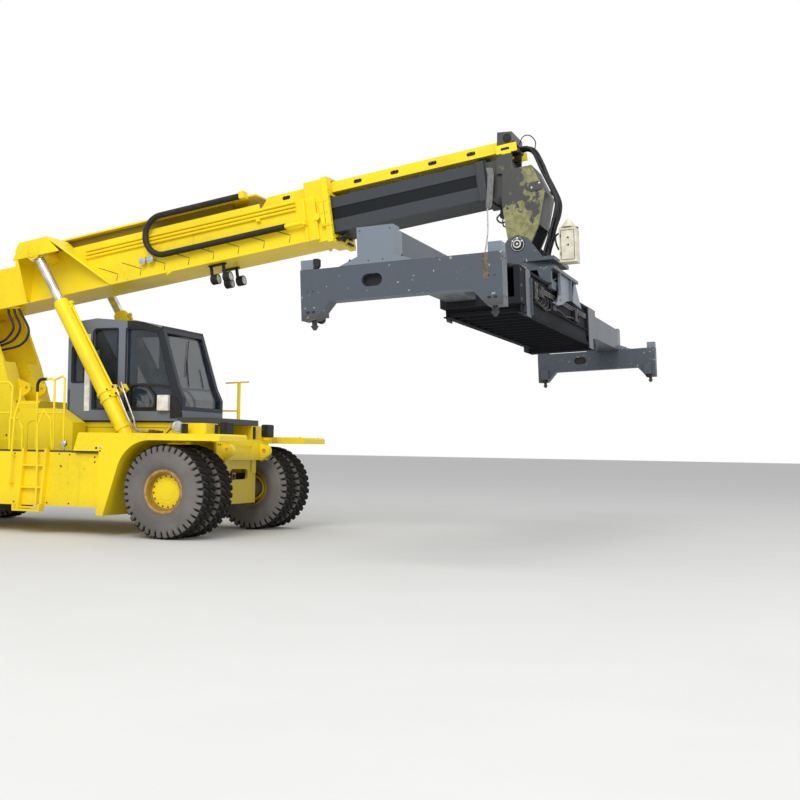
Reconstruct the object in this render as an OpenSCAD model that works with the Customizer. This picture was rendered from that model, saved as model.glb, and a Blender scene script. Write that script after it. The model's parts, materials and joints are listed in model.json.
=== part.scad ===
// Container reach stacker: a four-wheeled chassis with a rear boom tower, a two-section telescopic
// boom raised by two cylinders, a cab between those cylinders, and a turning top-lift spreader.
// Millimetres, X forward, Y to the driver's left, Z up, ground at Z = 0.
// Modules are drawn with X = 0 at the drive axle; place() moves them so that the middle of the
// overall length is at X = 0.

/* [Running gear] */
// drive axle to steer axle
wheelbase = 6000; // [5800:50:6300]
// outer radius of every tyre
tyre_r = 795; // [780:5:800]
// section width of every tyre
tyre_w = 490; // [470:5:500]
// rim radius under the tyre bead
rim_r = 335; // [320:5:345]
// middle of the outer drive tyre from the centre plane
dual_out_y = 1835; // [1820:5:1850]
// middle of the inner drive tyre from the centre plane
dual_in_y = 1255; // [1245:5:1265]
// steer kingpin from the centre plane
kingpin_y = 1080; // [1060:10:1100]
// middle of the steer tyre outside its kingpin
steer_offset = 330; // [320:5:340]

/* [Chassis] */
// top of the main frame beams
frame_top = 1640; // [1620:10:1660]
// lower edge of the side boxes
skirt_z = 490; // [470:10:520]
// top of the side boxes, where the ladder lands
deck_z = 1420; // [1400:10:1440]
// outer face of the side boxes
side_y = 1985; // [1960:5:2000]
// gap between the drive tyres and the fender over them
fender_gap = 60; // [50:5:70]
// depth of the fenders' top
fender_lip = 115; // [100:5:130]
// front end of the fenders ahead of the drive tyres
fender_overhang = 275; // [250:5:290]
// rear end of the counterweight behind the steer axle
tail_overhang = 1750; // [1700:10:1800]
// lift cylinders from the centre plane
cyl_y = 950; // [940:5:960]
// gap between a lift cylinder and what stands beside it
cyl_gap = 35; // [30:1:40]

/* [Boom] */
// angle of the boom above the horizon
boom_angle = 8.8; // [8.4:0.1:9.2]
// boom pivot behind the steer axle
pivot_behind = 200; // [180:10:220]
// boom pivot above the ground
pivot_z = 4330; // [4320:10:4340]
// outer box: distance of its underside below the pivot
outer_low = 400; // [395:5:405]
// outer box: height
outer_h = 760; // [755:5:765]
// outer box: half width
outer_half = 450; // [445:5:455]
// outer box: front end from the pivot
outer_end = 8550; // [8520:10:8580]
// plate thickness of both boxes
boom_wall = 30; // [25:1:32]
// inner box: gap to the outer box on every side
slide_gap = 40; // [38:1:44]
// head pin: distance along the boom from the pivot
head_u = 11725; // [11700:5:11750]
// head pin: distance below the line of the boom's pivot
head_w = 1198; // [1180:2:1220]
// tilt of the whole spreader about the head pin, front end up
spreader_tilt = 3; // [0:0.5:3]

/* [Spreader] */
// middle of the near and far end beams from the centre plane
end_y = 5992.5; // [5990:0.5:5995]
// locks apart along the end beam
lock_span = 2259; // [2255:1:2263]
// telescopic arm: outer width and height
arm_w = 460; // [450:5:465]
// radius of each lift cylinder's barrel
barrel_r = 145; // [140:5:150]

/* [Hidden] */
$fn = 48;
// rear end of the counterweight and front end of the spreader, which set the overall length
steer_x = -wheelbase;
piv_x = steer_x - pivot_behind;
pin_x = piv_x + head_u * cos(boom_angle) + head_w * sin(boom_angle);
pin_z = pivot_z + head_u * sin(boom_angle) - head_w * cos(boom_angle);
tail_x = steer_x - tail_overhang;
nose_x = pin_x + 1255 * cos(spreader_tilt) + 1800 * sin(spreader_tilt);
x_mid = (tail_x + nose_x) / 2;
axle_z = tyre_r;
// fenders, side boxes and counterweight stand around the tyres and beside the lift cylinders
fender_z = 2 * tyre_r + fender_gap + fender_lip;
fender_front = tyre_r + fender_overhang;
skirt_x = -tyre_r - 445;
fender_y = [cyl_y + barrel_r + cyl_gap, dual_out_y + tyre_w / 2 + 5];
weight_x = steer_x - tyre_r - 285;
frame_tail = weight_x + 130;
// lift cylinder: foot pin, and the pin on the boom in the boom's own frame (along, above the pivot)
foot_x = -1000;
foot_z = 1000;
lug_u = 2785;
lug_w = 338;
head_x0 = piv_x + lug_u * cos(boom_angle) - lug_w * sin(boom_angle);
head_z0 = pivot_z + lug_u * sin(boom_angle) + lug_w * cos(boom_angle);
cyl_len = sqrt(pow(head_x0 - foot_x, 2) + pow(head_z0 - foot_z, 2));
cyl_angle = atan2(head_z0 - foot_z, head_x0 - foot_x);
barrel_len = cyl_len - 1100;
outer_top = outer_h - outer_low;
inner_low = outer_low - boom_wall - slide_gap;
inner_top = outer_top - boom_wall - slide_gap;
inner_half = outer_half - boom_wall - slide_gap;

YELLOW = [0.93, 0.80, 0.16];
DARK = [0.16, 0.18, 0.20];
GREY = [0.30, 0.33, 0.36];
BLACK = [0.06, 0.06, 0.06];
GLASS = [0.2, 0.25, 0.28];
STEEL = [0.75, 0.75, 0.75];

// ---- drawing helpers -------------------------------------------------------------------------
module place() { translate([-x_mid, 0, 0]) children(); }
module box(x, y, z) { translate([x[0], y[0], z[0]]) cube([x[1] - x[0], y[1] - y[0], z[1] - z[0]]); }
// outline in X and Z, as thick as y
module plate_y(pts, y) { translate([0, y[1], 0]) rotate([90, 0, 0]) linear_extrude(y[1] - y[0]) polygon(pts); }
// outline in Y and Z, as thick as x
module plate_x(pts, x) { translate([x[0], 0, 0]) rotate([90, 0, 90]) linear_extrude(x[1] - x[0]) polygon(pts); }
// outline in X and Y, as high as z
module plate_z(pts, z) { translate([0, 0, z[0]]) linear_extrude(z[1] - z[0]) polygon(pts); }
// cylinder along Y
module rod_y(x, z, r, y) { translate([x, y[1], z]) rotate([90, 0, 0]) cylinder(r = r, h = y[1] - y[0]); }
// cylinder along X
module rod_x(y, z, r, x) { translate([x[0], y, z]) rotate([0, 90, 0]) cylinder(r = r, h = x[1] - x[0]); }
module both_sides() { children(); mirror([0, 1, 0]) children(); }
module in_boom() { translate([piv_x, 0, pivot_z]) rotate([0, -boom_angle, 0]) children(); }
module on_pin() { translate([pin_x, 0, pin_z]) rotate([0, -spreader_tilt, 0]) children(); }
// eight-sided bar through a list of points, lapped at each corner
module bar(pts, r) for (i = [0:len(pts) - 2]) {
  d = pts[i + 1] - pts[i];
  lap = [i > 0 ? 0.6 * r : 0, i < len(pts) - 2 ? 0.6 * r : 0];
  translate(pts[i]) rotate([0, acos(d[2] / norm(d)), atan2(d[1], d[0])])
    translate([0, 0, -lap[0]]) cylinder(r = r, h = norm(d) + lap[0] + lap[1], $fn = 8);
}
// slot with round ends, long along X, cut through Y
module slot_y(x, z, length, height, y) {
  box([x - length / 2 + height / 2, x + length / 2 - height / 2], y, [z - height / 2, z + height / 2]);
  for (s = [-1, 1]) rod_y(x + s * (length - height) / 2, z, height / 2, y);
}
// frame of one lift cylinder: origin at the foot pin, +X towards the boom's pin
module on_cylinder(side) { translate([foot_x, side * cyl_y, foot_z]) rotate([0, -cyl_angle, 0]) children(); }

// ---- chassis ---------------------------------------------------------------------------------
frame_y = [430, 590];
front_x = [350, 400];
lug = [475, 705, 1500];
rail_top = 1980;
box_top = 1965;
cab_x = [-2900, -450];
module chassis_frame() color(YELLOW) place() {
  difference() {
    union() {
      both_sides() plate_y([[front_x[0], frame_top], [front_x[0], 1090], [-420, 1090], [-640, 620], [steer_x + 1500, 620],
        [steer_x + 850, 1090], [frame_tail, 1090], [frame_tail, frame_top]], frame_y);
      // cross members: front plate, the one behind the drive axle, under the tower, at the tail
      box(front_x, [-985, 985], [1330, frame_top]);
      box([-1500, -1440], [-frame_y[0], frame_y[0]], [640, 1500]);
      for (x = [piv_x + 1300, piv_x + 2000]) box([x, x + 90], [-frame_y[0], frame_y[0]], [1000, 1149.7]);
      // deck plate between the fenders
      box([-350, front_x[1]], [-fender_y[0] + 0.3, fender_y[0] - 0.3], [frame_top - 1, frame_top + 60]);
      box([frame_tail, frame_tail + 50], [-frame_y[0], frame_y[0]], [1100, frame_top]);
      // recessed lower plate in front of the axle
      box([front_x[0] - 80, front_x[0] - 30], [-630, 630], [540, 1331]);
      box([front_x[0] - 80, front_x[0] + 1], [-630, 630], [1330, 1380]);
      both_sides() {
        // tow lugs with a round nose
        plate_y([[front_x[1] - 1, 1310], [lug[0] + 95, 1430], [lug[0] + 95, 1570], [front_x[1] - 1, frame_top]], [lug[1] - 50, lug[1] + 50]);
        rod_y(lug[0], lug[2], 115, [lug[1] - 50, lug[1] + 50]);
        // rails under the cab, on the frame beams
        box([cab_x[0], cab_x[1]], [480, 640], [frame_top - 1, rail_top]);
        // boxes on the front deck with a round outer corner
        box([-340, 150], [655, fender_y[0] - 20], [frame_top + 59, box_top]);
        box([-340, 230], [655, fender_y[0] - 100], [frame_top + 59, box_top]);
        translate([150, fender_y[0] - 100, frame_top + 59]) cylinder(r = 80, h = box_top - frame_top - 59);
      }
      // forks that hold the lift cylinders' feet
      for (s = [-1, 1]) for (y = [790, 1075])
        box([foot_x - 150, foot_x + 110], s > 0 ? [y, y + 35] : [-y - 35, -y], [foot_z - 190, foot_z + 170]);
      both_sides() box([foot_x - 150, foot_x + 110], [frame_y[1] - 1, 1110], [foot_z - 250, foot_z - 189]);
    }
    both_sides() rod_y(lug[0], lug[2], 45, [600, 800]);
    both_sides() rod_y(foot_x, foot_z, 61, [700, 1200]);
    // slot in the lower front plate
    rotate([0, 0, 90]) slot_y(0, 1070, 680, 190, [-400, -200]);
    // towing eye's window between the lugs
    box([front_x[0] + 20, front_x[1] + 10], [-330, 330], [1420, 1590]);
  }
}

tower_y = [500, 570];
hood_top = 2380;
// front edge of the tower, from the frame upwards, and its place at a height above the hood
tower_front = [[piv_x + 2230, frame_top + 0.3], [piv_x + 1980, 2280], [piv_x + 1670, 3150]];
function tower_edge(z) = let (a = tower_front[1], b = tower_front[2]) a[0] + (b[0] - a[0]) * (z - a[1]) / (b[1] - a[1]);
tower_lug = [piv_x + 1990, 230, 2640];
module boom_tower() color(YELLOW) place() {
  both_sides() difference() {
    union() {
      plate_y(concat(tower_front, [for (p = [[1150, pivot_z], [320, pivot_z + 230], [-250, pivot_z + 270], [-420, pivot_z + 90],
        [-700, frame_top + 0.3]]) [piv_x + p[0], p[1] ]]), tower_y);
      rod_y(piv_x, pivot_z, 320, tower_y);
      // broad front flange and the web behind it, from the hood up to the boom's underside
      for (w = [[40, tower_lug[1] + 10, tower_y[0] + 1], [300, tower_lug[1] - 30, tower_lug[1] + 11]])
        plate_y([for (q = [[hood_top + 0.3, 2], [3140, 2], [3140, w[0]], [hood_top + 0.3, w[0]]]) [tower_edge(q[0]) - q[1], q[0]]], [w[1], w[2]]);
      // lifting lug at the front edge
      plate_y([[tower_edge(tower_lug[2] - 170) - 20, tower_lug[2] - 170], [tower_lug[0] + 75, tower_lug[2] - 70],
        [tower_lug[0] + 75, tower_lug[2] + 70], [tower_edge(tower_lug[2] + 190) - 20, tower_lug[2] + 190]],
        [tower_lug[1] - 32, tower_lug[1] + 32]);
      rod_y(tower_lug[0], tower_lug[2], 100, [tower_lug[1] - 32, tower_lug[1] + 32]);
    }
    rod_y(piv_x, pivot_z, 90.3, [400, 700]);
    rod_y(tower_lug[0], tower_lug[2], 35, [100, 400]);
  }
  box([piv_x - 550, piv_x - 490], [-tower_y[0] - 0.5, tower_y[0] + 0.5], [2400, 3500]);
}

// boom pivot pin and the two foot pins of the lift cylinders
module pivot_pins() color(STEEL) place() {
  rod_y(piv_x, pivot_z, 90, [-620, 620]);
  both_sides() rod_y(foot_x, foot_z, 60, [770, 1125]);
}

arch_r = 650;
arch_x = -250;
module front_fenders() color(YELLOW) place() both_sides() difference() {
  // top with a step back over the side box, and a raked skirt with a foot
  plate_y([[fender_front, fender_z - fender_lip], [fender_front, fender_z - 30], [fender_front - 30, fender_z], [skirt_x - 420, fender_z],
    [skirt_x - 520, deck_z + 30.3], [skirt_x, deck_z + 30.3], [skirt_x, skirt_z - 0.3], [skirt_x - 30, skirt_z - 0.3], [skirt_x - 30, skirt_z - 130],
    [skirt_x + 100, skirt_z - 130], [arch_x - arch_r * cos(15), fender_z - fender_lip - arch_r + arch_r * sin(15)],
    [arch_x, fender_z - fender_lip]], fender_y);
  // round inner corner of the arch
  intersection() {
    rod_y(arch_x, fender_z - fender_lip - arch_r, arch_r, [fender_y[0] - 1, fender_y[1] + 1], $fn = 96);
    box([arch_x - arch_r, arch_x + 1], [fender_y[0] - 1, fender_y[1] + 1], [fender_z - fender_lip - arch_r, fender_z]);
  }
}

side_x = [steer_x + tyre_r + 455, skirt_x - 0.3];
// in front of foot_clear_x the side boxes and decks leave room for the lift cylinders
foot_clear_x = -1520;
foot_clear_y = fender_y[0];
module side_boxes() color(YELLOW) place() both_sides() {
  // sloped cover beside the cab's platform
  plate_y([[-3700, deck_z + 30.3], [-3700, 2120], [-3600, 2210], [-2900, 2210], [-2480, 1960], [-2480, deck_z + 30.3]], [745, foot_clear_y]);
  box([side_x[0], foot_clear_x], [frame_y[1] + 0.3, side_y], [skirt_z, deck_z]);
  box([foot_clear_x - 1, side_x[1]], [foot_clear_y, side_y], [skirt_z, deck_z]);
}

module side_decks() color(DARK) place() both_sides() {
  box([side_x[0], foot_clear_x], [frame_y[1] + 0.3, side_y], [deck_z + 0.3, deck_z + 30]);
  box([foot_clear_x - 1, side_x[1] - 10], [foot_clear_y, side_y], [deck_z + 0.3, deck_z + 30]);
  // raised deck over the steer wheels, on posts that stand on the lower deck and the tail
  box([weight_x + 30, side_x[0] - 150], [frame_y[1] + 0.3, side_y + 5], [1700, 1730]);
  box([side_x[0] - 180, side_x[0] - 0.3], [frame_y[1] + 0.3, side_y + 5], [1200, 1730]);
}

module drive_axle() color(GREY) place() {
  rod_y(0, axle_z, 190, [-1560, 1560]);
  // differential housing, with its nose towards the gearbox
  translate([0, 0, axle_z]) rotate([90, 0, 0]) sphere(r = 262);
  rod_x(0, axle_z, 230, [-400, 0]);
  rod_x(0, axle_z, 110, [-470, -399]);
  // seats clamped under the frame beams
  both_sides() box([-240, 240], [440, 580], [axle_z, 1089.7]);
}

module steer_axle() color(GREY) place() {
  box([steer_x - 160, steer_x + 160], [-960, 960], [axle_z - 130, axle_z + 130]);
  box([steer_x - 300, steer_x + 300], [-200, 200], [axle_z - 130, 1060]);
  box([steer_x - 300, steer_x + 300], [-580, 580], [1000, 1089.7]);
  for (s = [-1, 1]) difference() {
    union() for (z = [axle_z - 250, axle_z + 190])
      box([steer_x - 110, steer_x + 110], s > 0 ? [900, kingpin_y + 110] : [-kingpin_y - 110, -900], [z, z + 60]);
    translate([steer_x, s * kingpin_y, 0]) cylinder(r = 45.05, h = 3000);
  }
  both_sides() box([steer_x - 110, steer_x + 110], [900, 960], [axle_z - 200, axle_z + 200]);
}

module counterweight() color(YELLOW) place() difference() {
  union() {
    // block with chamfered edges and rounded rear corners
    intersection() {
      plate_x([[-1650, 700], [-1850, 900], [-1850, 1500], [-1750, 1690], [1750, 1690], [1850, 1500],
        [1850, 900], [1650, 700]], [tail_x, weight_x]);
      translate([0, 0, 600]) linear_extrude(1200) union() {
        polygon([[weight_x + 1, -1900], [tail_x + 320, -1900], [tail_x, -1450], [tail_x, 1450], [tail_x + 320, 1900], [weight_x + 1, 1900]]);
        for (s = [-1, 1]) translate([tail_x + 330, s * 1520]) circle(r = 330);
      }
    }
    plate_y([[tail_x + 60, 1689], [tail_x + 60, 2050], [tail_x + 260, 2250], [weight_x + 170, 2250], [weight_x + 170, 1800],
      [weight_x, 1800], [weight_x, 1689]], [-580, 580]);
    box([weight_x - 1, frame_tail - 0.3], [-420, 420], [1000, 1600]);
  }
  // towing pocket and the recesses of the rear lamps
  box([tail_x - 10, tail_x + 160], [-130, 130], [1000, 1160]);
  both_sides() box([tail_x - 10, tail_x + 40], [900, 1300], [1380, 1520]);
  // cooling slots in the rear cover
  for (i = [0:5]) box([tail_x + 50, tail_x + 110], [-460, 460], [1760 + 45 * i, 1782 + 45 * i]);
}

module engine_block() color(GREY) place() box([piv_x + 1000, piv_x + 2350], [-380, 380], [1150, 1990]);
module engine_hood() color(YELLOW) place() difference() {
  plate_x([[-480, frame_top + 0.3], [-480, hood_top - 60], [-420, hood_top], [420, hood_top], [480, hood_top - 60], [480, frame_top + 0.3]],
    [piv_x - 400, piv_x + 2450]);
  plate_x([[-440, frame_top - 10], [-440, hood_top - 78], [-402, hood_top - 40], [402, hood_top - 40], [440, hood_top - 78], [440, frame_top - 10]],
    [piv_x - 360, piv_x + 2410]);
  // vents on both sides, and in the front wall
  both_sides() for (x = [piv_x + 1000, piv_x + 1500]) for (i = [0:6])
    slot_y(x + 200, 1790 + i * 55, 380, 22, [430, 490]);
}
module exhaust_stack() color(BLACK) place() {
  translate([piv_x + 900, 760, 1730.3]) cylinder(r = 130, h = 900);
  translate([piv_x + 900, 760, 2630]) cylinder(r = 60, h = 500);
}

// ---- cab -------------------------------------------------------------------------------------
cab_half = 720;
cab_wall = 55;
cab_low = 2010;
cab_out = [[-2920, cab_low], [-2920, 3560], [-2740, 3840], [-2300, 3890], [-1300, 3800], [-900, 3680],
  [-560, 2650], [-450, 2430], [-450, cab_low]];
cab_in = [[-2865, cab_low + cab_wall], [-2865, 3540], [-2710, 3785], [-2300, 3832], [-1310, 3745], [-940, 3637],
  [-612, 2640], [-505, 2418], [-505, cab_low + cab_wall]];
cab_floor = cab_low + cab_wall + 0.3;
cab_inner = cab_half - cab_wall;
door_half = 330;
door_z = [2180, 3480];
hinge_z = [2350, 3150];
hinge_at = [-2934, door_half + 14];
// side windows as outlines: behind the seat, beside it, and in front with the raked pillar
side_windows = [
  [[-2830, 2710], [-2830, 3350], [-2780, 3410], [-2570, 3410], [-2570, 2710]],
  [[-2370, 2220], [-2370, 3640], [-2320, 3690], [-1840, 3690], [-1840, 2220]],
  [[-1660, 2200], [-1660, 3690], [-1290, 3680], [-990, 3600], [-705, 2600], [-640, 2440], [-640, 2200]]];
// their panes, which lap 20 over each opening
side_panes = [
  [[-2850, 2690], [-2850, 3358], [-2789, 3430], [-2550, 3430], [-2550, 2690]],
  [[-2390, 2200], [-2390, 3649], [-2329, 3710], [-1820, 3710], [-1820, 2200]],
  [[-1680, 2180], [-1680, 3710], [-1287, 3700], [-974, 3616], [-686, 2605], [-620, 2445], [-620, 2180]]];
screen = [[-935.2, 3620], [-612, 2640], [-505, 2418], [-505, 2250]];
module cab_shell() color(GREY) place() {
  difference() {
    plate_y(cab_out, [-cab_half, cab_half]);
    plate_y(cab_in, [-cab_inner, cab_inner]);
    both_sides() for (w = side_windows) plate_y(w, [cab_inner - 5, cab_half + 5]);
    // windscreen, and the door's opening behind
    plate_x([[-620, 2270], [-620, 3600], [620, 3600], [620, 2270]], [-1000, -400]);
    box([-2950, -2850], [-door_half, door_half], door_z);
  }
  // roof hatch rim and the rain rail over the windscreen
  box([-2150, -1750], [-300, 300], [3835, 3888]);
  box([-935, -895], [-cab_half + 20, cab_half - 20], [3660, 3715]);
  // hinge lugs beside the door's opening
  for (z = hinge_z) {
    translate([hinge_at[0], hinge_at[1], z]) cylinder(r = 14, h = 50);
    box([hinge_at[0], -2919], [hinge_at[1] - 14, hinge_at[1] + 14], [z, z + 50]);
  }
}
// pedestal that hangs between the rails on its shoes, and the platform in front of the cab
module cab_base() color(DARK) place() {
  box([-2850, -440], [-478, 478], [1760, cab_low - 0.3]);
  both_sides() box([-2850, -500], [477, 650], [rail_top + 0.3, cab_low - 0.3]);
  box([-449.7, 220], [-900, 900], [box_top + 0.3, cab_low + 60]);
}
// panes bonded to the inner faces of the walls
module cab_windows() color(GLASS) place() {
  both_sides() for (w = side_panes) plate_y(w, [cab_inner - 8.3, cab_inner - 0.3]);
  plate_y(concat([for (p = screen) [p[0] - 0.4, p[1]]], [for (i = [3:-1:0]) [screen[i][0] - 9, screen[i][1]]]), [-640, 640]);
}
module cab_door() color(GREY) place() {
  difference() {
    box([-2920, -2865], [-door_half + 8, door_half - 8], [door_z[0] + 8, door_z[1] - 8]);
    box([-2950, -2850], [-door_half + 80, door_half - 80], [door_z[0] + 500, door_z[1] - 90]);
  }
  // hinge knuckles on straps, above the cab's lugs
  for (z = hinge_z) {
    translate([hinge_at[0], hinge_at[1], z + 50.3]) cylinder(r = 14, h = 50);
    box([hinge_at[0] - 14, hinge_at[0] + 6], [door_half - 40, hinge_at[1]], [z + 50.3, z + 100.3]);
    box([hinge_at[0] - 14, -2919], [door_half - 40, door_half - 12], [z + 50.3, z + 100.3]);
  }
}
module cab_door_glass() color(GLASS) place()
  box([-2900, -2892], [-door_half + 80.3, door_half - 80.3], [door_z[0] + 500.3, door_z[1] - 90.3]);
module operator_seat() color(BLACK) place() {
  box([-2300, -1780], [-260, 260], [2500, 2640]);
  plate_y([[-2300, 2640], [-2420, 3250], [-2300, 3250], [-2160, 2640]], [-250, 250]);
  box([-2200, -1900], [-180, 180], [cab_floor, 2500]);
}
module cab_controls() color(BLACK) place() {
  plate_y([[-1150, cab_floor], [-1350, 2900], [-1250, 2900], [-950, cab_floor]], [-120, 120]);
  translate([-1330, 0, 2960]) rotate([0, -28, 0]) rotate_extrude($fn = 48) translate([190, 0]) circle(r = 18, $fn = 16);
  translate([-1330, 0, 2960]) rotate([0, -28, 0]) translate([0, 0, -12]) cylinder(r = 191, h = 8);
  translate([-1330, 0, 2960]) rotate([0, -28, 0]) translate([0, 0, -90]) cylinder(r = 30, h = 85);
}

// ---- access ----------------------------------------------------------------------------------
step_z = [455, 805, 1185];
rail_y = 1900;
rail_foot = deck_z + 30.3;
module access_rails() color(YELLOW) place() {
  both_sides() {
    // ladder: two raked strings on the side box, rungs, and a deep bottom step
    for (x = [-2930, -2450]) plate_y([[x - 5, 430], [x + 45, 430], [x + 145, deck_z + 60], [x + 95, deck_z + 60]], [side_y + 0.3, side_y + 90]);
    for (z = step_z) box([-2910 + z / 10 - 45, -2430 + z / 10 - 30], [side_y + 10, side_y + 80], [z - 15, z + 15]);
    box([-2960, -2380], [side_y + 40, side_y + 165], [skirt_z - 100, skirt_z - 60]);
    for (x = [-2960, -2420]) box([x, x + 40], [side_y + 40, side_y + 165], [skirt_z - 100, skirt_z + 30]);
    // grab rails beside the ladder
    bar([[-3075, side_y + 0.3, 870], [-3075, 2100, 870], [-2980, 2100, 2050], [-2910, 2060, 2330], [-2900, 2060, 2530]], 19);
    bar([[-3036, side_y + 0.3, 1350], [-3036, 2100, 1350]], 19);
    bar([[-2520, side_y + 0.3, 520], [-2520, 2060, 520], [-2520, 2060, 1880], [-2440, 2020, 2140], [-2340, 1960, 1980], [-2325, rail_y + 20, rail_foot + 2.5]], 19);
    bar([[-2930, rail_y + 50, rail_foot], [-2930, rail_y + 50, 1820], [-3020, rail_y + 50, 2000], [-3200, rail_y + 50, 2000], [-3200, rail_y + 50, rail_foot]], 19);
    bar([[-3030, 1700, rail_foot], [-3030, 1700, 1900], [-2950, 1700, 1970], [-2800, 1700, 1980], [-2800, 1700, rail_foot]], 16);
    // guard rails on the deck: in front of the ladder, and behind it
    bar([[-2670, rail_y, rail_foot], [-2670, rail_y, 2600], [-2610, rail_y, 2680], [-2370, rail_y, 2700], [-2310, rail_y, 2660], [-2310, rail_y, rail_foot]], 19);
    bar([[-2310, rail_y, 2680], [-2150, rail_y, 2740], [-2100, rail_y, 2700], [-2100, rail_y, rail_foot]], 19);
    bar([[-2100, rail_y, 2100], [-2670, rail_y, 2100]], 16);
    bar([[side_x[0] + 150, rail_y, rail_foot], [side_x[0] + 150, rail_y, 2560], [side_x[0] + 230, rail_y, 2640], [-3280, rail_y, 2640], [-3200, rail_y, 2560], [-3200, rail_y + 30, 1990]], 19);
    bar([[side_x[0] + 150, rail_y, 2100], [-3210, rail_y + 15, 2100]], 16);
    bar([[-3900, rail_y, rail_foot], [-3900, rail_y, 2640]], 19);
  }
  // mirror and lamp post on the far fender
  bar([[-750, rail_y, fender_z + 0.3], [-750, rail_y, 2870]], 19);
  bar([[-1050, rail_y, 2850], [-530, rail_y, 2870]], 16);
  bar([[-750, rail_y, 2290], [-1380, rail_y, 2290], [-1450, rail_y, 2220], [-1450, rail_y, fender_z + 0.3]], 16);
}
// round lamps on the fenders, turned outwards, on posts
lamp_x = -220;
lamp_y = 1290;
lamp_z = fender_z + 125;
module head_lamps() color(STEEL) place() both_sides() {
  translate([lamp_x, lamp_y, lamp_z]) rotate([0, 0, 45]) {
    rod_x(0, 0, 105, [20, 75]);
    rod_x(0, 0, 80, [-60, 21]);
    rod_x(0, 0, 45, [-100, -59]);
  }
  translate([lamp_x, lamp_y, fender_z + 0.3]) cylinder(r = 22, h = lamp_z - fender_z - 60);
}

// ---- wheels ----------------------------------------------------------------------------------
// tyre section as a polygon turned about the axle: bead, bulged wall, square shoulder
module tyre(y) translate([0, y, 0]) rotate([90, 0, 0]) rotate_extrude($fn = 96) polygon([
  [rim_r, -0.36 * tyre_w], [rim_r + 0.35 * (tyre_r - rim_r), -0.5 * tyre_w], [tyre_r - 90, -0.48 * tyre_w],
  [tyre_r - 20, -0.40 * tyre_w], [tyre_r, -0.34 * tyre_w], [tyre_r, 0.34 * tyre_w], [tyre_r - 20, 0.40 * tyre_w],
  [tyre_r - 90, 0.48 * tyre_w], [rim_r + 0.35 * (tyre_r - rim_r), 0.5 * tyre_w], [rim_r, 0.36 * tyre_w]]);
// rim well and disc, dished inwards; side = +1 faces +Y
module rim(y, side) translate([0, y, 0]) rotate([side * -90, 0, 0]) rotate_extrude($fn = 96) polygon([
  [0, -40], [240, -40], [rim_r - 30, 60], [rim_r - 30, -0.36 * tyre_w], [rim_r - 0.3, -0.36 * tyre_w],
  [rim_r - 0.3, 0.37 * tyre_w], [rim_r - 30, 0.37 * tyre_w], [rim_r - 30, 100], [230, 0], [0, 0]]);

module drive_tyres(side) color(BLACK) place() translate([0, 0, axle_z])
  for (y = [dual_in_y, dual_out_y]) tyre(side * y);
hub_out = dual_out_y + 60;
module drive_rims(side) color(YELLOW) place() translate([0, 0, axle_z]) difference() {
  union() {
    for (y = [dual_in_y, dual_out_y]) rim(side * y, side);
    // one hub through both discs
    rod_y(0, 0, 230, side > 0 ? [1180, hub_out] : [-hub_out, -1180]);
  }
  rod_y(0, 0, 190.06, side > 0 ? [1000, 1562] : [-1562, -1000]);
}

spindle_end = kingpin_y + steer_offset - 50;
module steer_knuckle(side) color(GREY) place() {
  translate([steer_x, side * kingpin_y, axle_z - 260]) cylinder(r = 45, h = 520);
  translate([steer_x, side * kingpin_y, axle_z - 189.7]) cylinder(r = 105, h = 379.4);
  rod_y(steer_x, axle_z, 90, side > 0 ? [kingpin_y + 60, spindle_end] : [-spindle_end, -kingpin_y - 60]);
}
module steer_tyre(side) color(BLACK) place() translate([steer_x, 0, axle_z]) tyre(side * (kingpin_y + steer_offset));
module steer_rim(side) color(YELLOW) place() translate([steer_x, 0, axle_z]) {
  y = kingpin_y + steer_offset;
  difference() {
    union() {
      rim(side * y, side);
      rod_y(0, 0, 190, side > 0 ? [kingpin_y + 150, y + 120] : [-y - 120, -kingpin_y - 150]);
    }
    rod_y(0, 0, 90.05, side > 0 ? [kingpin_y + 100, spindle_end + 2] : [-spindle_end - 2, -kingpin_y - 100]);
  }
}

// ---- lift cylinders --------------------------------------------------------------------------
module lift_barrel(side) color(YELLOW) place() on_cylinder(side) difference() {
  union() {
    rotate([0, 90, 0]) translate([0, 0, 330]) cylinder(r = barrel_r, h = barrel_len - 330);
    rod_y(0, 0, 140, [-110, 110]);
    rotate([0, 90, 0]) translate([0, 0, 60]) cylinder(r = 105, h = 271);
    // gland at the rod's end, oil pipe along the front, and its two saddles
    rotate([0, 90, 0]) translate([0, 0, barrel_len - 1]) cylinder(r = barrel_r - 15, h = 40);
    translate([0, 0, -barrel_r - 32]) rod_x(0, 0, 22, [700, barrel_len - 120]);
    for (x = [760, barrel_len - 200]) box([x, x + 60], [-30, 30], [-barrel_r - 50, -barrel_r + 20]);
    // clamp ring that carries the pipes to the deck
    rod_x(0, 0, barrel_r + 18, [980, 1060]);
  }
  rod_y(0, 0, 60.05, [-200, 200]);
  rotate([0, 90, 0]) translate([0, 0, 360]) cylinder(r = 90.05, h = barrel_len);
}
// half width of the rod's eye, and its gap to the bosses beside it
eye_half = 80;
eye_gap = 15;
module lift_rod(side) color(STEEL) place() on_cylinder(side) difference() {
  union() {
    rotate([0, 90, 0]) translate([0, 0, 900]) cylinder(r = 90, h = cyl_len - 1000);
    rod_y(cyl_len, 0, 150, [-eye_half, eye_half]);
  }
  rod_y(cyl_len, 0, 80, [-200, 200]);
}

// ---- boom ------------------------------------------------------------------------------------
tray_half = 280;
tray_u = [7150, head_u - 25];
tray_low = outer_top + 45;
duct_u = [1800, 6600];
roof_u = [2560, 7150];
roof_w = [620, 650];
collar_u = [outer_end - 500, outer_end];
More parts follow.
